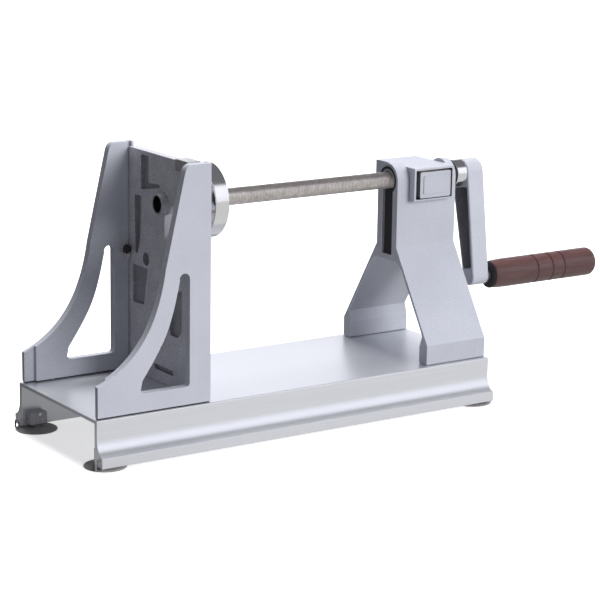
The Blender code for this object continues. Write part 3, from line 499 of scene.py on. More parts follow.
def cast(name, colour):
    """Tumbled casting: grainy, darker in patches, lighter where it was rubbed."""
    surface = Surface(name, metallic=0.3)
    grain = surface.noise(700.0, 4.0, roughness=0.7)
    patch = surface.noise(55.0, 4.0, roughness=0.6)
    dark, light = scaled(colour, 0.72), scaled(colour, 1.3)
    tint = surface.ramp(grain, [(0.32, dark), (0.5, colour), (0.7, light)])
    patches = surface.ramp(patch, [(0.32, (0.82, 0.82, 0.84)), (0.68, (1.0, 1.0, 1.0))])
    surface.drive("Base Color", surface.mixed(1.0, tint, patches, "MULTIPLY"))
    surface.drive("Roughness", surface.spread(grain, 0.42, 0.62))
    surface.bump(grain, 0.5, 0.00012)
    return surface.material


def polished(name, colour, roughness=(0.10, 0.20)):
    """Turned and polished metal: faint rings about the local X axis."""
    surface = Surface(name, metallic=1.0)
    rings = surface.noise(1.0, 3.0, stretch=(2600.0, 20.0, 20.0))
    smear = surface.noise(60.0, 3.0)
    tint = surface.ramp(smear, [(0.3, scaled(colour, 0.94)), (0.7, colour)])
    surface.drive("Base Color", tint)
    surface.drive("Roughness", surface.spread(rings, *roughness))
    surface.bump(rings, 0.08, 0.00003)
    return surface.material


def threaded(name, colour, root, crest):
    """Nickel-plated thread: warm flanks, painted shade in the roots, painted highlight on the
    crests, random stains.
    """
    surface = Surface(name, metallic=0.9)
    height = surface.spread(surface.radius(), 0.0, 1.0, (root, crest))
    stain = surface.noise(180.0, 4.0, roughness=0.7)
    # Painted shade in the roots and painted highlight on the crests, keyed to the distance from
    # the axis.
    tint = surface.ramp(height, [(0.0, scaled(colour, 0.42)), (0.55, scaled(colour, 0.85)),
                                 (1.0, scaled(colour, 1.12))])
    stains = surface.ramp(stain, [(0.3, (0.72, 0.70, 0.68)), (0.65, (1.0, 1.0, 1.0))])
    surface.drive("Base Color", surface.mixed(1.0, tint, stains, "MULTIPLY"))
    surface.drive("Roughness", surface.spread(stain, 0.40, 0.28))
    surface.bump(stain, 0.15, 0.00005)
    return surface.material


def steel(name, colour, roughness=(0.24, 0.38)):
    """Plain machined steel with short random scratches."""
    surface = Surface(name, metallic=1.0)
    fine = surface.noise(1.0, 3.0, stretch=(900.0, 900.0, 160.0))
    tint = surface.ramp(fine, [(0.3, scaled(colour, 0.86)), (0.7, scaled(colour, 1.06))])
    surface.drive("Base Color", tint)
    surface.drive("Roughness", surface.spread(fine, *roughness))
    surface.bump(fine, 0.12, 0.00004)
    return surface.material


def moulded(name, colour, roughness=(0.38, 0.55), grain_size=1200.0, bump=0.25, coat=0.0):
    """Moulded plastic or rubber with a fine leather-like grain."""
    surface = Surface(name)
    grain = surface.noise(grain_size, 3.0, roughness=0.6)
    wear = surface.noise(90.0, 4.0, roughness=0.6)
    tint = surface.ramp(wear, [(0.3, scaled(colour, 0.82)), (0.55, colour),
                               (0.75, scaled(colour, 1.18))])
    surface.drive("Base Color", tint)
    surface.drive("Roughness", surface.spread(grain, *roughness))
    surface.shader.inputs["Coat Weight"].default_value = coat
    surface.shader.inputs["Coat Roughness"].default_value = 0.3
    surface.bump(grain, bump, 0.00006)
    return surface.material


def grip_material(name, colour):
    """Turned, stained grip: streaks along its length, small pale pores, satin lacquer."""
    surface = Surface(name)
    streak = surface.noise(1.0, 5.0, stretch=(35.0, 420.0, 420.0), roughness=0.65)
    pores = surface.noise(850.0, 2.0, roughness=0.5)
    tint = surface.ramp(streak, [(0.28, scaled(colour, 0.68)), (0.5, colour),
                                 (0.74, scaled(colour, 1.45))])
    pore = surface.ramp(pores, [(0.58, (0.0, 0.0, 0.0)), (0.72, (0.5, 0.5, 0.5))])
    surface.drive("Base Color", surface.mixed(pore, tint, scaled(colour, 1.9)))
    surface.drive("Roughness", surface.spread(pores, 0.36, 0.50))
    surface.shader.inputs["Coat Weight"].default_value = 0.25
    surface.shader.inputs["Coat Roughness"].default_value = 0.28
    surface.bump(surface.sum(streak, pores, 0.5), 0.3, 0.00008)
    return surface.material


SILVER = speckled("speckled_silver_paint", (0.59, 0.61, 0.67))
ARM_SILVER = speckled("speckled_silver_arm", (0.62, 0.64, 0.70))
# Lighter silver for the rounded edges: a painted highlight along the edges.
HIGHLIGHT_SILVER = speckled("silver_edge_painted_highlight", (0.86, 0.88, 0.93), 0.06, (0.26, 0.36), 0.45)
# Near-black for the tower's front groove and the button's pocket: painted shade.
RECESS_SHADE = speckled("recess_painted_shade", (0.06, 0.06, 0.068), 0.2, (0.5, 0.65), 0.1)
# Darker grey for the crank arm's front pocket: painted shade.
ARM_POCKET_SHADE = speckled("arm_pocket_painted_shade", (0.40, 0.40, 0.43), 0.2, (0.5, 0.65), 0.1)
BASE_METAL = extruded("satin_anodised", (0.80, 0.815, 0.85), (0.28, 0.38), 0.65)
CAST = cast("plate_casting_metal", (0.75, 0.745, 0.80))
# Darker casting for the plate's hub and the faces inside its pockets, window and bores: painted
# shade.
CAST_SHADE = cast("plate_painted_shade_metal", (0.41, 0.41, 0.45))
BRACKET = cast("bracket_casting_metal", (0.52, 0.52, 0.55))
LINER = moulded("grey_liner_plastic", (0.42, 0.42, 0.44))
# Near-black steel, also used as painted shade on the corer tube inside the hole.
OXIDE_AND_SHADE = steel("black_oxide_steel_and_painted_shade", (0.05, 0.05, 0.055), (0.35, 0.5))
POLISHED = polished("polished_turned_steel", (0.90, 0.90, 0.90))
BLADE = polished("ground_blade_steel", (0.80, 0.80, 0.80), (0.16, 0.28))
THREAD = threaded("nickel_thread", (0.73, 0.69, 0.655), SCREW_RADIUS - 0.0006, SCREW_RADIUS)
FASTENER = steel("zinc_fastener_steel", (0.62, 0.62, 0.60))
BRASS = steel("nut_brass_metal", (0.66, 0.46, 0.18))
BLACK = moulded("black_moulded_plastic", (0.020, 0.021, 0.025))
BUMPER = moulded("black_bumper_rubber", (0.022, 0.022, 0.022), (0.55, 0.75), 900.0, 0.4)
GREY = moulded("grey_foot_rubber", (0.34, 0.33, 0.325), (0.48, 0.68), 900.0, 0.3)
BROWN = grip_material("brown_grip_lacquer", (0.090, 0.042, 0.040))


# ---------------------------------------------------------------- base and feet

def make_base():
    cove_wide = LIP_HALF_WIDTH - BASE_HALF_WIDTH
    cove_high = COVE_TOP - LIP_TOP
    cove = []
    for i in range(15):
        turn = math.radians(90 * i / 14)
        cove.append((BASE_HALF_WIDTH + cove_wide * (1 - math.cos(turn)),
                     COVE_TOP - cove_high * math.sin(turn)))
    inner = BASE_HALF_WIDTH - SKIRT_WALL
    round_off = 0.0012
    corner = arc((BASE_HALF_WIDTH - round_off, BASE_TOP - round_off), round_off, 90, 0, 6)
    lip = filleted([cove[-1], (LIP_HALF_WIDTH, LIP_BOTTOM), (inner, LIP_BOTTOM),
                    (inner, BASE_TOP - BASE_PLATE), (0.0, BASE_TOP - BASE_PLATE)], 0.0006,
                   closed=False)
    half = corner + cove[:-1] + lip[:-1]
    base = outline("base_shell", [half + mirrored(half)], "X",
                   (-BASE_HALF_LENGTH, BASE_HALF_LENGTH))
    bevel(base, 0.0003, 2, 60)
    piece(base, ["base"], "frame", BASE_METAL)


def make_foot(name, side_x, side_y):
    """Suction disc with a thin rim, a neck, and a pull loop at its outer edge."""
    rim = filleted([(0.0026, 0.0034), (0.0026, 0.0042), (0.0023, 0.0085), (0.0014, 0.0168),
                    (0.0008, FOOT_RADIUS), (0.0, FOOT_RADIUS), (0.0, 0.0130), (0.0009, 0.0)],
                   0.0004, closed=False)
    profile = [(0.0125, 0.0), (0.0125, 0.0032), (0.0030, 0.0032)] + rim
    foot = turned(name + "_cup", profile, direction="Z", steps=72)
    curve = bpy.data.curves.new(name + "_loop", "CURVE")
    curve.dimensions = "3D"
    curve.bevel_depth = 0.0008
    curve.bevel_resolution = 3
    curve.use_fill_caps = True
    radius, top, root = 0.0034, 0.0085, 0.0009
    route = [(-radius, root)] + arc((0, top - radius), radius, 180, 0, 20) + [(radius, root)]
    add_line(curve, [(0.0, across, up) for across, up in route], False)
    outwards = Matrix.Translation((side_x * 0.0148, side_y * 0.0075, 0.0))
    unite(foot, solid_from_curve(name + "_loop", curve, outwards))
    place = MACHINE @ Matrix.Translation((side_x * FOOT_X, side_y * FOOT_Y, 0.0))
    piece(foot, [name], "frame", GREY, place)


# ---------------------------------------------------------------- gussets

def gusset_outline():
    sweep = bezier((-0.1347, 0.1587), (-0.1417, 0.1152), (-0.1587, 0.0843), (-0.198, 0.0686), 40)
    shoulder = bezier((-0.1095, GUSSET_TOP), (-0.1139, GUSSET_TOP), (-0.1162, 0.2400),
                      (-0.1172, 0.2345), 12)
    return ([(GUSSET_BACK, GUSSET_BOTTOM), (GUSSET_BACK, GUSSET_TOP)] + shoulder + sweep
            + [(GUSSET_FRONT, GUSSET_BOTTOM)])


def window_outline():
    sweep = bezier((-0.1215, 0.1482), (-0.1302, 0.1080), (-0.1343, 0.1005), (-0.1567, 0.0687), 28)
    top = arc((-0.1169, 0.1490), 0.0049, 0, 180, 18)
    heel = arc((-0.1545, 0.0618), 0.0038, 190, 270, 10)
    corner = arc((-0.1150, 0.0610), 0.0030, 270, 360, 8)
    return top[:-1] + sweep + heel + corner


def make_gusset(name, side):
    gusset = outline(name + "_shell", [gusset_outline(), window_outline()], "Y",
                     (side * GUSSET_INNER, side * GUSSET_OUTER))
    bevel(gusset, 0.0007, 3, painted_highlight=True)
    strip = box("strip", (GUSSET_FRONT - PAST, -0.188),
                (side * (GUSSET_INNER - PAST), side * GUSSET_STRIP_INNER), (0.0, 0.3))
    groove = box("groove", GROOVE_X, (side * (GUSSET_INNER - PAST), side * GROOVE_DEPTH),
                 (0.0, 0.3))
    cut(gusset, strip, groove)
    piece(gusset, [name], "frame", (SILVER, HIGHLIGHT_SILVER))


# ---------------------------------------------------------------- tower

def tower_outline():
    """Section of the tower: an arch, straight cheeks, splayed legs and box feet."""
    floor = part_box("tower")[0].z
    knee_y, knee_z = TOWER_KNEE
    slope = Vector((knee_y - TOWER_ARCH, knee_z - TOWER_SHOULDER)).normalized()
    inward = Vector((slope.y, -slope.x)) * 0.003
    lower = Vector(TOWER_KNEE) + inward
    chamfer = lower - slope * 0.0105
    ceiling_z = 0.1265
    upper = lower - slope * ((lower.y - (ceiling_z - 0.006)) / slope.y)
    arch = arc((0.0, AXIS_Z), TOWER_ARCH, 90, 0, 24)
    bends = filleted([arch[-1], (TOWER_ARCH, TOWER_SHOULDER), TOWER_KNEE, (knee_y, floor),
                      (0.0535, floor), (0.0535, 0.0565), tuple(chamfer), tuple(upper),
                      (upper.x - 0.0075, ceiling_z), (0.0, ceiling_z)], 0.0009, 3, closed=False)
    right = arch[:-1] + bends[:-1]
    return right + mirrored(right)[:-1]


def make_tower():
    start = -math.degrees(math.acos(TOWER_SLOT / TOWER_BORE))
    bore = arc((0.0, AXIS_Z), TOWER_BORE, start, 180 - start, 48)
    hole = bore + [(-TOWER_SLOT, 0.131), (TOWER_SLOT, 0.131)]
    tower = outline("tower_shell", [tower_outline(), hole], "X", (TOWER_FRONT, TOWER_BACK))
    bevel(tower, 0.0005, 3, 50, painted_highlight=True)
    inner, outer, depth = 0.0100, 0.0124, 0.0014
    groove = turned("groove", [(TOWER_FRONT - PAST, inner), (TOWER_FRONT - PAST, outer),
                               (TOWER_FRONT + depth, outer), (TOWER_FRONT + depth, inner)],
                    closed=True, steps=64)
    groove.data.transform(Matrix.Translation((0.0, 0.0, AXIS_Z)))
    cut(tower, groove)
    cut(tower, box("notch", (HOUSING_X[0] - CLEARANCE, HOUSING_X[1] + CLEARANCE), (-0.05, 0.05),
                   (HOUSING_Z[0] - CLEARANCE, 0.3)))
    piece(tower, ["tower"], "frame", (SILVER, HIGHLIGHT_SILVER, RECESS_SHADE))
    # Painted shade: the faces inside the front groove round the bore take the near-black third
    # material.
    repaint(tower, 2, lambda x, y, z: SKIN < x - TOWER_FRONT < depth + SKIN
            and inner - SKIN < math.hypot(y, z - AXIS_Z) < outer + SKIN)


def rounded_rectangle(low, high, radius, steps=6):
    """Corners of a rectangle from low to high, each rounded."""
    corners = []
    for across, up, start in ((high[0], high[1], 0), (low[0], high[1], 90),
                              (low[0], low[1], 180), (high[0], low[1], 270)):
        centre = (across - math.copysign(radius, across - (low[0] + high[0]) / 2),
                  up - math.copysign(radius, up - (low[1] + high[1]) / 2))
        corners += arc(centre, radius, start, start + 90, steps)
    return corners


def make_housing():
    """Block over the tower: a raised rim round the button's pocket, and the spring barrel."""
    section = [(HOUSING_Y[0], HOUSING_Z[0]), (0.0185, HOUSING_Z[0]), (0.0225, 0.186),
               (HOUSING_Y[1], 0.186), (HOUSING_Y[1], HOUSING_Z[1]), (HOUSING_Y[0], HOUSING_Z[1])]
    housing = outline("release_housing_shell", [filleted(section, 0.0009)], "X", HOUSING_X)
    pocket = outline("pocket", [rounded_rectangle((POCKET_X[0], POCKET_Z[0]),
                                                  (POCKET_X[1], POCKET_Z[1]), 0.0012)], "Y",
                     (HOUSING_Y[0] - PAST, -0.0108))
    nut_half_height = 0.010
    cavity = box("cavity", (0.1557, 0.1823), (-0.0128, 0.0238),
                 (AXIS_Z - nut_half_height, AXIS_Z + nut_half_height))
    middle = sum(HOUSING_X) / 2
    bore = rod("bore", (HOUSING_X[0] - PAST, 0, AXIS_Z), (HOUSING_X[1] + PAST, 0, AXIS_Z),
               TOWER_BORE)
    spring_hole, cap_seat = 0.0052, 0.008
    barrel = rod("barrel", (middle, 0.02, AXIS_Z), (middle, 0.05, AXIS_Z), spring_hole)
    seat = rod("seat", (middle, 0.0345, AXIS_Z), (middle, 0.05, AXIS_Z), cap_seat)
    cut(housing, pocket, cavity, bore, barrel, seat)
    bevel(housing, 0.0005, 3, 50, painted_highlight=True)
    piece(housing, ["release_housing"], "frame", (SILVER, HIGHLIGHT_SILVER, RECESS_SHADE))
    # Painted shade: the floor and walls of the button's pocket take the near-black third material.
    repaint(housing, 2, lambda x, y, z: POCKET_X[0] - SKIN < x < POCKET_X[1] + SKIN
            and POCKET_Z[0] - SKIN < z < POCKET_Z[1] + SKIN
            and HOUSING_Y[0] + 0.0008 < y < 0.02)


def make_button():
    """Push button: a rounded block with a slightly raised square pad."""
    low = (POCKET_X[0] + 0.0055, POCKET_Z[0] + 0.0005)
    high = (POCKET_X[1] - 0.0006, POCKET_Z[1] - 0.0020)
    button = outline("release_button_cap", [rounded_rectangle(low, high, 0.0016)], "Y",
                     (-0.0214, -0.0155))
    bevel(button, 0.0006, 3, 50)
    edge = 0.0036
    pad = outline("pad", [rounded_rectangle((low[0] + edge, low[1] + edge),
                                            (high[0] - edge, high[1] - edge), 0.0012)], "Y",
                  (-0.02218, -0.0200))
    bevel(pad, 0.0004, 2, 50)
    unite(button, pad)
    piece(button, ["release_button"], "release", SILVER)


# ---------------------------------------------------------------- blade plate

def plate_pockets():
    """Blind pockets of the plate's front face: outline across Y and up Z, and depth."""
    ell = [(0.0265, 0.2350), (0.0395, 0.2350), (0.0395, 0.2045), (0.0080, 0.2105),
           (0.0080, 0.2135), (0.0265, 0.2120)]
    slot = [(0.0388, 0.1990), (0.0510, 0.1985), (0.0495, 0.1480), (0.0461, 0.1475),
            (0.0416, 0.1600)]
    lower = [(0.0285, 0.1370), (0.0540, 0.1370), (0.0540, 0.1035), (0.0349, 0.1045)]
    right = [(-0.0060, 0.1180), (-0.0290, 0.1300), (-0.0290, 0.0930), (-0.0220, 0.0870),
             (-0.0100, 0.0870)]
    foot = [(0.0170, 0.0565), (-0.0150, 0.0565), (-0.0150, 0.0520), (0.0170, 0.0520)]
    return ((ell, 0.003), (slot, 0.004), (lower, 0.0025), (right, 0.003), (foot, 0.003))


def make_plate():
    tongue_back = PLATE_FRONT + 0.002
    half = [(PLATE_BACK, PLATE_HALF_WIDTH), (tongue_back, PLATE_HALF_WIDTH),
            (tongue_back, TONGUE_HALF_WIDTH), (PLATE_FRONT, TONGUE_HALF_WIDTH)]
    section = half + [(x, -y) for x, y in reversed(half)]
    plate = outline("blade_plate_casting", [section], "Z", (PLATE_BOTTOM, PLATE_TOP))
    hub_bore = CORER_RADIUS + CLEARANCE
    hub = [(HUB_FRONT, hub_bore), (HUB_FRONT, HUB_RADIUS - 0.0008),
           (HUB_FRONT + 0.0008, HUB_RADIUS), (PLATE_FRONT - 0.0010, HUB_RADIUS),
           (PLATE_FRONT - 0.0003, HUB_RADIUS + 0.0004), (PLATE_FRONT, HUB_RADIUS + 0.0012),
           (PLATE_BACK - 0.001, HUB_RADIUS), (PLATE_BACK - 0.001, hub_bore)]
    boss = turned("hub", hub, steps=64, closed=True)
    boss.data.transform(Matrix.Translation((0.0, 0.0, AXIS_Z)))
    for loop, depth in plate_pockets():
        cut(plate, outline("pocket", [filleted(loop, 0.0016)], "X",
                           (PLATE_FRONT - PAST, PLATE_FRONT + depth)))
    cut(plate, box("window", (-0.2, 0), WINDOW_Y, WINDOW_Z))
    bores = (((0.0, AXIS_Z), hub_bore + 0.0005, 0.02), ((0.0313, 0.1452), 0.0057, 0.004),
             ((0.0060, 0.0745), 0.0024, 0.02))
    for (y, z), radius, depth in bores:
        cut(plate, rod("bore", (-0.2, y, z), (PLATE_FRONT + depth, y, z), radius))
    unite(plate, boss)
    cut(plate, box("comb_slot", (-0.0925, 0), COMB_SLOT_Y, COMB_SLOT_Z))
    plate.modifiers.new("Weld", "WELD").merge_threshold = BOOLEAN_WELD
    piece(plate, ["blade_plate"], "blade_assembly", (CAST, CAST_SHADE))
    # Painted shade: the hub and the faces inside the pockets, window and bores take the darker
    # casting.
    repaint(plate, 1, lambda x, y, z: x < PLATE_FRONT - 0.0006
            or PLATE_FRONT + 0.0008 < x < PLATE_BACK - 0.0005
            and abs(y) < PLATE_HALF_WIDTH - 0.001 and z < PLATE_TOP - 0.0016)


def make_corer():
    tube = [(-0.0855, 0.0064), (-0.0880, CORER_RADIUS), (HUB_FRONT + 0.0008, CORER_RADIUS),
            (HUB_FRONT + 0.0003, CORER_RADIUS - 0.0004), (HUB_FRONT + 0.0003, 0.0064),
            (HUB_FRONT + 0.0006, 0.0062), (-0.0880, 0.0062)]
    corer = turned("corer_tube_steel", tube, closed=True)
    # The tube takes the near-black steel as painted shade inside the corer's hole.
    piece(corer, ["corer_tube"], "blade_assembly", OXIDE_AND_SHADE, SCREW)


def make_tab():
    """Clip over the plate's top edge."""
    front, back, top = PLATE_FRONT - CLEARANCE, PLATE_BACK + CLEARANCE, PLATE_TOP + CLEARANCE
    wall = 0.0012
    section = [(front - wall, 0.2300), (front, 0.2300), (front, top), (back, top),
               (back, 0.2300), (back + 0.0022, 0.2300), (back + 0.0022, top + wall),
               (front - wall, top + wall)]
    tab = outline("pull_tab_clip", [filleted(section, 0.0005)], "Y", (-0.0400, -0.0205))
    bevel(tab, 0.0002, 2, 50)
    piece(tab, ["pull_tab"], "blade_assembly", LINER)


# ---------------------------------------------------------------- latch

def make_latch():
    """Cam lever and its pin on the far gusset's inner face, drawn about the pin."""
    far, thick, eye = GUSSET_INNER - CLEARANCE, 0.0030, 0.0038
    pin_radius, pin_end = 0.0015, 0.0652
    nose = [(0.0020, -0.0098), (0.0047, -0.0076)]
    loop = arc((0.0, 0.0), eye, 10, 230, 30) + nose
    lever = outline("latch_lever_cam", [loop], "Y", (far - thick, far))
    bevel(lever, 0.0004, 3, 50)
    cut(lever, rod("bore", (0.0, 0.0, 0.0), (0.0, 0.1, 0.0), pin_radius + CLEARANCE))
    place = MACHINE @ Matrix.Translation(LATCH_PLACE)
    piece(lever, ["latch_lever"], "plate_latch", FASTENER, place)
    start = far - thick - CLEARANCE
    profile = [(start - 0.0028, 0.0), (start - 0.0028, 0.0026), (start - 0.0024, 0.0034),
               (start - 0.0016, 0.0040), (start - 0.0004, 0.0040), (start, 0.0036),
               (start, pin_radius), (pin_end, pin_radius), (pin_end, 0.0)]
    pin = turned("latch_pin_head", profile, steps=48)
    pin.data.transform(Matrix.Rotation(math.radians(90), 4, "Z"))
    piece(pin, ["latch_pin"], "frame", BLACK, place)


# ---------------------------------------------------------------- screw, disc and collar

def make_screw():
    """Double-start thread: 3 mm a turn, 1.5 mm from crest to crest."""
    lead, starts, depth, per_pitch, steps = 0.003, 2, 0.00042, 10, 64
    thread_end, end = 0.2010, ARM_BACK - 0.0045
    pitch = lead / starts
    count = round((thread_end - SCREW_START) / (pitch / per_pitch))
    bm = bmesh.new()
    rings = []

    def ring_at(x, radius_at):
        ring = []
        for k in range(steps):
            turn = 2 * math.pi * k / steps
            radius = radius_at(turn)
            ring.append(bm.verts.new((x, radius * math.cos(turn), radius * math.sin(turn))))
        rings.append(ring)

    def thread_radius(x, turn, fade):
        phase = ((x - lead * turn / (2 * math.pi)) / pitch) % 1.0
        height = min(1.0, max(0.0, (0.5 - abs(phase - 0.5)) / 0.15 - 0.3))
        return SCREW_RADIUS - depth * max(1.0 - height, fade)

    for i in range(count + 1):
        x = SCREW_START + (thread_end - SCREW_START) * i / count
        fade = max(0.0, 1.0 - i / 4, 1.0 - (count - i) / 4)
        ring_at(x, lambda turn, x=x, fade=fade: thread_radius(x, turn, fade))
    ring_at(thread_end + 0.0001, lambda turn: SHAFT_RADIUS)
    ring_at(end - 0.004, lambda turn: SHAFT_RADIUS)
    ring_at(end, lambda turn: 0.0032)
    for first, second in zip(rings, rings[1:]):
        for k in range(steps):
            after = (k + 1) % steps
            bm.faces.new((first[k], first[after], second[after], second[k]))
    bm.faces.new(rings[0])
    bm.faces.new(rings[-1])
    screw = from_bmesh("lead_screw_thread", bm)
    piece(screw, ["lead_screw"], "crank", THREAD, CRANK, 60)


def make_disc():
    bore = SCREW_RADIUS + CLEARANCE
    front = DISC_FRONT
    ring_out, ring_in = SPIKE_CIRCLE + 0.0038, SPIKE_CIRCLE - 0.0038
    outer = filleted([(DISC_BACK, bore), (DISC_BACK, DISC_RADIUS), (front, DISC_RADIUS),
                      (front, ring_out)], 0.0011, 5, closed=False)
    profile = outer + [(front + 0.0015, ring_out), (front + 0.0015, ring_in), (front, ring_in),
                       (front, 0.0066), (front + 0.0036, 0.0066), (front + 0.0036, 0.0033),
                       (SCREW_START - CLEARANCE, 0.0033), (SCREW_START - CLEARANCE, bore)]
    disc = turned("holder_disc_turned", profile, closed=True, steps=160)
    piece(disc, ["holder_disc"], "crank", POLISHED, CRANK)
    head = front + 0.0033
    bolt = [(SCREW_START - 0.0006, 0.0), (SCREW_START - 0.0006, 0.0030), (head, 0.0030),
            (head, 0.0062), (front + 0.0004, 0.0062), (front, 0.0058), (front, 0.0)]
    bolt = turned("disc_bolt_head", bolt, steps=64)
    socket = rod("socket", (front - PAST, 0, 0), (front + 0.0024, 0, 0), 0.0030, segments=6)
    cut(bolt, socket)
    piece(bolt, ["disc_bolt"], "crank", OXIDE_AND_SHADE, CRANK)
    back = front + 0.0012
    proud, wide, slim = front - CLEARANCE, ring_out - CLEARANCE, ring_in + CLEARANCE
    band = filleted([(back, wide), (proud, wide), (proud, slim), (back, slim)], 0.0003, 3)
    ring = turned("spike_ring_steel", band, closed=True, steps=120)
    for i in range(6):
        turn = math.radians(60 * i + 30)
        y, z = SPIKE_CIRCLE * math.cos(turn), SPIKE_CIRCLE * math.sin(turn)
        unite(ring, rod("spike", (back - 0.0004, y, z), (SPIKE_TIP, y, z), 0.0019, 0.0002, 32))
    piece(ring, ["spike_ring"], "crank", FASTENER, CRANK)


def make_collar():
    """Rubber bumper behind the tower and the bright collar between it and the arm."""
    start, end = TOWER_BACK + CLEARANCE, BUMPER_END
    bumper = filleted([(end, COLLAR_RADIUS - 0.0006), (start, COLLAR_RADIUS - 0.0006),
                       (start, SCREW_RADIUS + CLEARANCE), (end, SCREW_RADIUS + CLEARANCE)], 0.0006)
    bumper = turned("bumper_ring_rubber", bumper, closed=True)
    piece(bumper, ["bumper_ring"], "screw_carrier", BUMPER, SCREW)
    start, end = BUMPER_END + CLEARANCE, ARM_FRONT - CLEARANCE
    collar = filleted([(end, COLLAR_RADIUS), (start, COLLAR_RADIUS), (start, SHAFT_BORE),
                       (end, SHAFT_BORE)], 0.0009, 5)
    collar = turned("collar_turned", collar, closed=True, steps=128)
    piece(collar, ["collar"], "crank", POLISHED, CRANK)


# ---------------------------------------------------------------- crank

def arm_loop(hub, end, length, steps):
    """Two arcs and the straight flanks that touch both."""
    lean = math.degrees(math.asin((hub - end) / length))
    top = arc((0.0, 0.0), hub, -lean, 180 + lean, steps * 2)
    bottom = arc((0.0, -length), end, 180 + lean, 360 - lean, steps)
    return top + bottom


def make_arm():
    arm = outline("crank_arm_forging", [arm_loop(ARM_HUB_RADIUS, ARM_END_RADIUS, ARM_LENGTH, 24)],
                  "X", (ARM_FRONT, ARM_BACK))
    bevel(arm, 0.0014, 4)
    wide, narrow, high, low = 0.0095, 0.0058, -0.0138, -0.0885
    pocket = filleted([(wide, high), (-wide, high), (-narrow, low), (narrow, low)], 0.0018)
    cut(arm, outline("pocket", [pocket], "X", (ARM_FRONT - PAST, ARM_BACK - 0.0035)))
    cut(arm, rod("bore", (0.1, 0, 0), (0.3, 0, 0), SHAFT_BORE))
    cut(arm, rod("sink", (ARM_BACK - 0.0042, 0, 0), (0.3, 0, 0), CAP_RADIUS + CLEARANCE))
    cut(arm, rod("spindle", (ARM_FRONT + 0.004, 0, -ARM_LENGTH), (0.3, 0, -ARM_LENGTH),
                 SPINDLE_BORE))
    piece(arm, ["crank_arm"], "crank", (ARM_SILVER, ARM_POCKET_SHADE), CRANK)
    # Painted shade: the floor and walls of the arm's front pocket take the darker second material.
    repaint(arm, 1, lambda x, y, z: low - SKIN < z < high + SKIN
            and abs(y) < narrow + (wide - narrow) * (z - low) / (high - low) + SKIN
            and ARM_FRONT + 0.0002 < x < ARM_BACK - 0.0030)
    inside, outside = ARM_BACK - 0.0039, ARM_BACK - 0.0004
    profile = filleted([(inside, 0.0), (inside, CAP_RADIUS), (outside, CAP_RADIUS),
                        (outside, 0.0)], 0.0006, closed=False)
    cap = turned("arm_cap_steel", profile)
    cut(cap, rod("socket", (ARM_BACK - 0.0024, 0, 0), (0.3, 0, 0), 0.0030, segments=6))
    piece(cap, ["arm_cap"], "crank", FASTENER, CRANK)


def make_grip():
    """Spindle with a shoulder, and the ferrule and the ringed handle that turn on it."""
    start, shoulder, flange = ARM_FRONT + 0.0043, GRIP_START - CLEARANCE, 0.0065
    profile = filleted([(SPINDLE_END, SPINDLE_RADIUS), (shoulder, SPINDLE_RADIUS),
                        (shoulder, flange), (ARM_BACK + CLEARANCE, flange),
                        (ARM_BACK + CLEARANCE, SPINDLE_RADIUS), (start, SPINDLE_RADIUS)],
                       0.0003, closed=False)
    spindle = turned("grip_spindle_steel", [(SPINDLE_END, 0.0)] + profile + [(start, 0.0)])
    piece(spindle, ["grip_spindle"], "crank", FASTENER, ARM_END)
    bore = SPINDLE_BORE
    ferrule = filleted([(FERRULE_END, 0.0122), (GRIP_START + 0.0012, 0.0127),
                        (GRIP_START, 0.0115), (GRIP_START, bore), (FERRULE_END, bore)], 0.0003)
    ferrule = turned("grip_ferrule_moulding", ferrule, closed=True)
    piece(ferrule, ["grip_ferrule"], "turning_grip", BLACK, ARM_END)
    start, bore_end, nose = FERRULE_END + CLEARANCE, SPINDLE_END + 0.0005, 0.0055
    profile = [(GRIP_END, 0.0)] + arc((GRIP_END - nose, GRIP_RADIUS - nose), nose, 0, 90, 14)
    for groove in (0.3190, 0.3050, 0.2870):
        for k in range(9):
            t = k / 8
            dip = math.sin(math.pi * t) ** 2
            profile.append((groove + 0.0017 * (1 - 2 * t), GRIP_RADIUS - 0.0010 * dip))
    taper = bezier((start + 0.0170, GRIP_RADIUS), (start + 0.0110, GRIP_RADIUS),
                   (start + 0.0050, 0.0129), (start + 0.0004, 0.0124), 10)
    profile += taper + [(start, 0.0120), (start, bore), (bore_end, bore), (bore_end, 0.0)]
    grip = turned("grip_handle", profile, steps=128)
    piece(grip, ["grip"], "turning_grip", BROWN, ARM_END, 50)


# ---------------------------------------------------------------- nodes that stay

# Looks of the nodes that are drawn as the CAD has them
KEPT = {
    "slot_insert": BLACK, "gasket_near": BLACK, "gasket_far": BLACK,
    "guide_liner_near": LINER, "guide_liner_far": LINER, "release_spring": FASTENER,
    "spring_cap": FASTENER, "half_nut": BRASS, "slicing_blade": BLADE, "comb_blade": BLADE,
    "blade_screw_1": FASTENER, "blade_screw_2": FASTENER,
}


def dress_kept_nodes():
    """Give each node that no piece replaces its material."""
    corners = [a + "_" + b for a in ("front", "back") for b in ("near", "far")]
    materials = dict(KEPT)
    for corner in corners:
        materials["foot_bracket_" + corner] = BRACKET
        materials["foot_screw_" + corner] = FASTENER
    for number in range(1, 5):
        materials["gusset_screw_%d" % number] = FASTENER
        materials["tower_screw_%d" % number] = FASTENER
    for name, material in materials.items():
        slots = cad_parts[name].data.materials
        slots.clear()
        slots.append(material)


# ---------------------------------------------------------------- studio

FLOOR_GLOW = 0.55
POOL_TOWARDS = (0.45, -0.89, 0.0)
POOL_REACH = (-0.30, 0.02)
POOL_LIGHT = (0.12, 0.64)
POOL_DIFFUSE_SHARE = 0.28
WORLD_STRENGTH = 1.15
CAMERA_PLACE = Vector((-1.09368, -1.58947, 0.54854))
CAMERA_TURN = (56.35, 13.24, 0.82)
CAMERA_LENS = 133.31


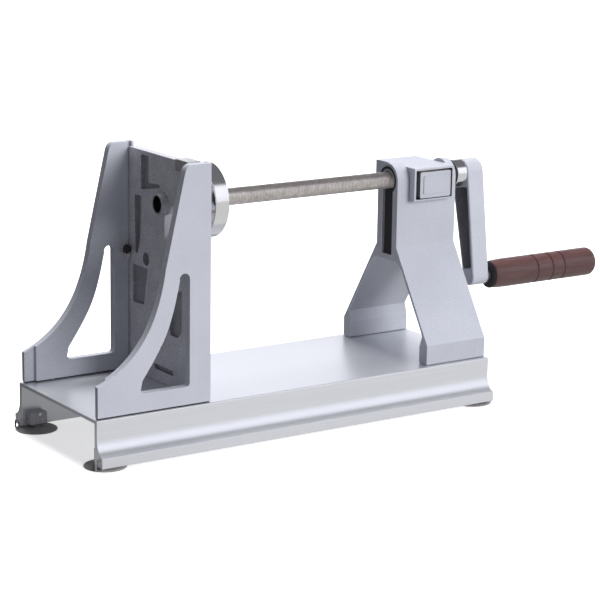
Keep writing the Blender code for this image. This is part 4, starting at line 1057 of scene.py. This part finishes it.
def make_floor():
    """Pale paper. The camera sees it brightly lit; on the object it throws little light back."""
    bm = bmesh.new()
    bmesh.ops.create_grid(bm, x_segments=1, y_segments=1, size=30.0)
    floor = from_bmesh("studio_floor", bm)
    material = bpy.data.materials.new("studio_floor_paper")
    material.use_nodes = True
    tree = material.node_tree
    tree.nodes.clear()
    paper = add_node(tree, "ShaderNodeBsdfDiffuse", {"Color": (0.90, 0.90, 0.90, 1.0)})
    glow = add_node(tree, "ShaderNodeEmission", {"Strength": FLOOR_GLOW})
    seen = add_node(tree, "ShaderNodeAddShader", {0: paper.outputs["BSDF"],
                                                  1: glow.outputs["Emission"]})
    place = add_node(tree, "ShaderNodeTexCoord", {}).outputs["Object"]
    towards = add_node(tree, "ShaderNodeVectorMath", {0: place, 1: POOL_TOWARDS},
                       operation="DOT_PRODUCT")
    shade = map_range(tree, towards.outputs["Value"], POOL_REACH, POOL_LIGHT)
    path = add_node(tree, "ShaderNodeLightPath", {}).outputs
    share = map_range(tree, path["Is Diffuse Ray"], (0.0, 1.0), (1.0, POOL_DIFFUSE_SHARE))
    pool = add_node(tree, "ShaderNodeEmission",
                    {"Strength": maths(tree, "MULTIPLY", shade, share)})
    mix = add_node(tree, "ShaderNodeMixShader", {
        "Fac": path["Is Camera Ray"], 1: pool.outputs["Emission"], 2: seen.outputs["Shader"]})
    add_node(tree, "ShaderNodeOutputMaterial", {"Surface": mix.outputs["Shader"]})
    floor.data.materials.append(material)


def sun(name, towards, angle, strength):
    """Even soft light from a direction, as from a large distant softbox."""
    light = bpy.data.lights.new(name, "SUN")
    light.energy = strength
    light.angle = math.radians(angle)
    made = link(name, light)
    made.rotation_mode = "QUATERNION"
    made.rotation_quaternion = (-Vector(towards)).to_track_quat("-Z", "Y")
    made.visible_glossy = False


def make_world():
    """White to the camera. To the rest, bright overhead, dark towards -X and just off zenith."""
    world = bpy.data.worlds.new("studio_world")
    bpy.context.scene.world = world
    world.use_nodes = True
    tree = world.node_tree
    tree.nodes.clear()
    place = add_node(tree, "ShaderNodeTexCoord", {}).outputs["Generated"]
    split = add_node(tree, "ShaderNodeSeparateXYZ", {"Vector": place})

    def band(value, stops):
        """Grey level along a direction, from facing away (0) to facing it (1)."""
        shift = map_range(tree, value, (-1.0, 1.0), (0.0, 1.0))
        return add_ramp(tree, shift, [(position, (shade, shade, shade * 1.03))
                                      for position, shade in stops])

    def times(first, second):
        return add_node(tree, "ShaderNodeMix", {"Factor": 1.0, "A": first, "B": second},
                        data_type="RGBA", blend_type="MULTIPLY").outputs["Result"]

    height = band(split.outputs["Z"], [(0.0, 0.5), (0.5, 0.85), (0.65, 1.0), (1.0, 1.0)])
    across = band(split.outputs["X"], [(0.0, 0.14), (0.35, 0.22), (0.5, 0.55), (0.62, 0.9),
                                       (1.0, 1.0)])
    patch = Vector((0.25, 0.15, 0.95)).normalized()
    towards = add_node(tree, "ShaderNodeVectorMath", {0: place, 1: patch},
                       operation="DOT_PRODUCT")
    ceiling = band(towards.outputs["Value"], [(0.0, 1.0), (0.81, 1.0), (0.86, 0.15), (1.0, 0.15)])
    seen = add_node(tree, "ShaderNodeBackground", {"Color": (1.0, 1.0, 1.0, 1.0),
                                                   "Strength": 1.0})
    lit = add_node(tree, "ShaderNodeBackground", {
        "Color": times(times(height, across), ceiling), "Strength": WORLD_STRENGTH})
    path = add_node(tree, "ShaderNodeLightPath", {}).outputs
    mix = add_node(tree, "ShaderNodeMixShader", {
        "Fac": path["Is Camera Ray"], 1: lit.outputs["Background"], 2: seen.outputs["Background"]})
    add_node(tree, "ShaderNodeOutputWorld", {"Surface": mix.outputs["Shader"]})


def make_camera():
    camera = bpy.data.cameras.new("camera")
    camera.lens = CAMERA_LENS
    camera.sensor_width = 36.0
    made = link("camera", camera)
    yaw, pitch, roll = (math.radians(turn) for turn in CAMERA_TURN)
    forward = Vector((math.cos(yaw) * math.cos(pitch), math.sin(yaw) * math.cos(pitch),
                      -math.sin(pitch)))
    right = Vector((math.sin(yaw), -math.cos(yaw), 0.0))
    up = right.cross(forward)
    side = right * math.cos(roll) + up * math.sin(roll)
    top = up * math.cos(roll) - right * math.sin(roll)
    turned_by = Matrix((side, top, -forward)).transposed().to_4x4()
    made.matrix_world = Matrix.Translation(CAMERA_PLACE) @ turned_by
    bpy.context.scene.camera = made


make_base()
for corner, sign_x, sign_y in (("front_near", -1, -1), ("front_far", -1, 1),
                               ("back_near", 1, -1), ("back_far", 1, 1)):
    make_foot("foot_" + corner, sign_x, sign_y)
for side_name, sign in SIDES:
    make_gusset("gusset_" + side_name, sign)
make_tower()
make_housing()
make_button()
make_plate()
make_corer()
make_tab()
make_latch()
make_screw()
make_disc()
make_collar()
make_arm()
make_grip()
dress_kept_nodes()
make_floor()
sun("key", (0.30, -0.90, 0.28), 24, 2.1)
sun("overhead", (0.28, 0.36, 0.88), 36, 4.2)
make_world()
make_camera()
bpy.context.scene.view_settings.view_transform = "Standard"
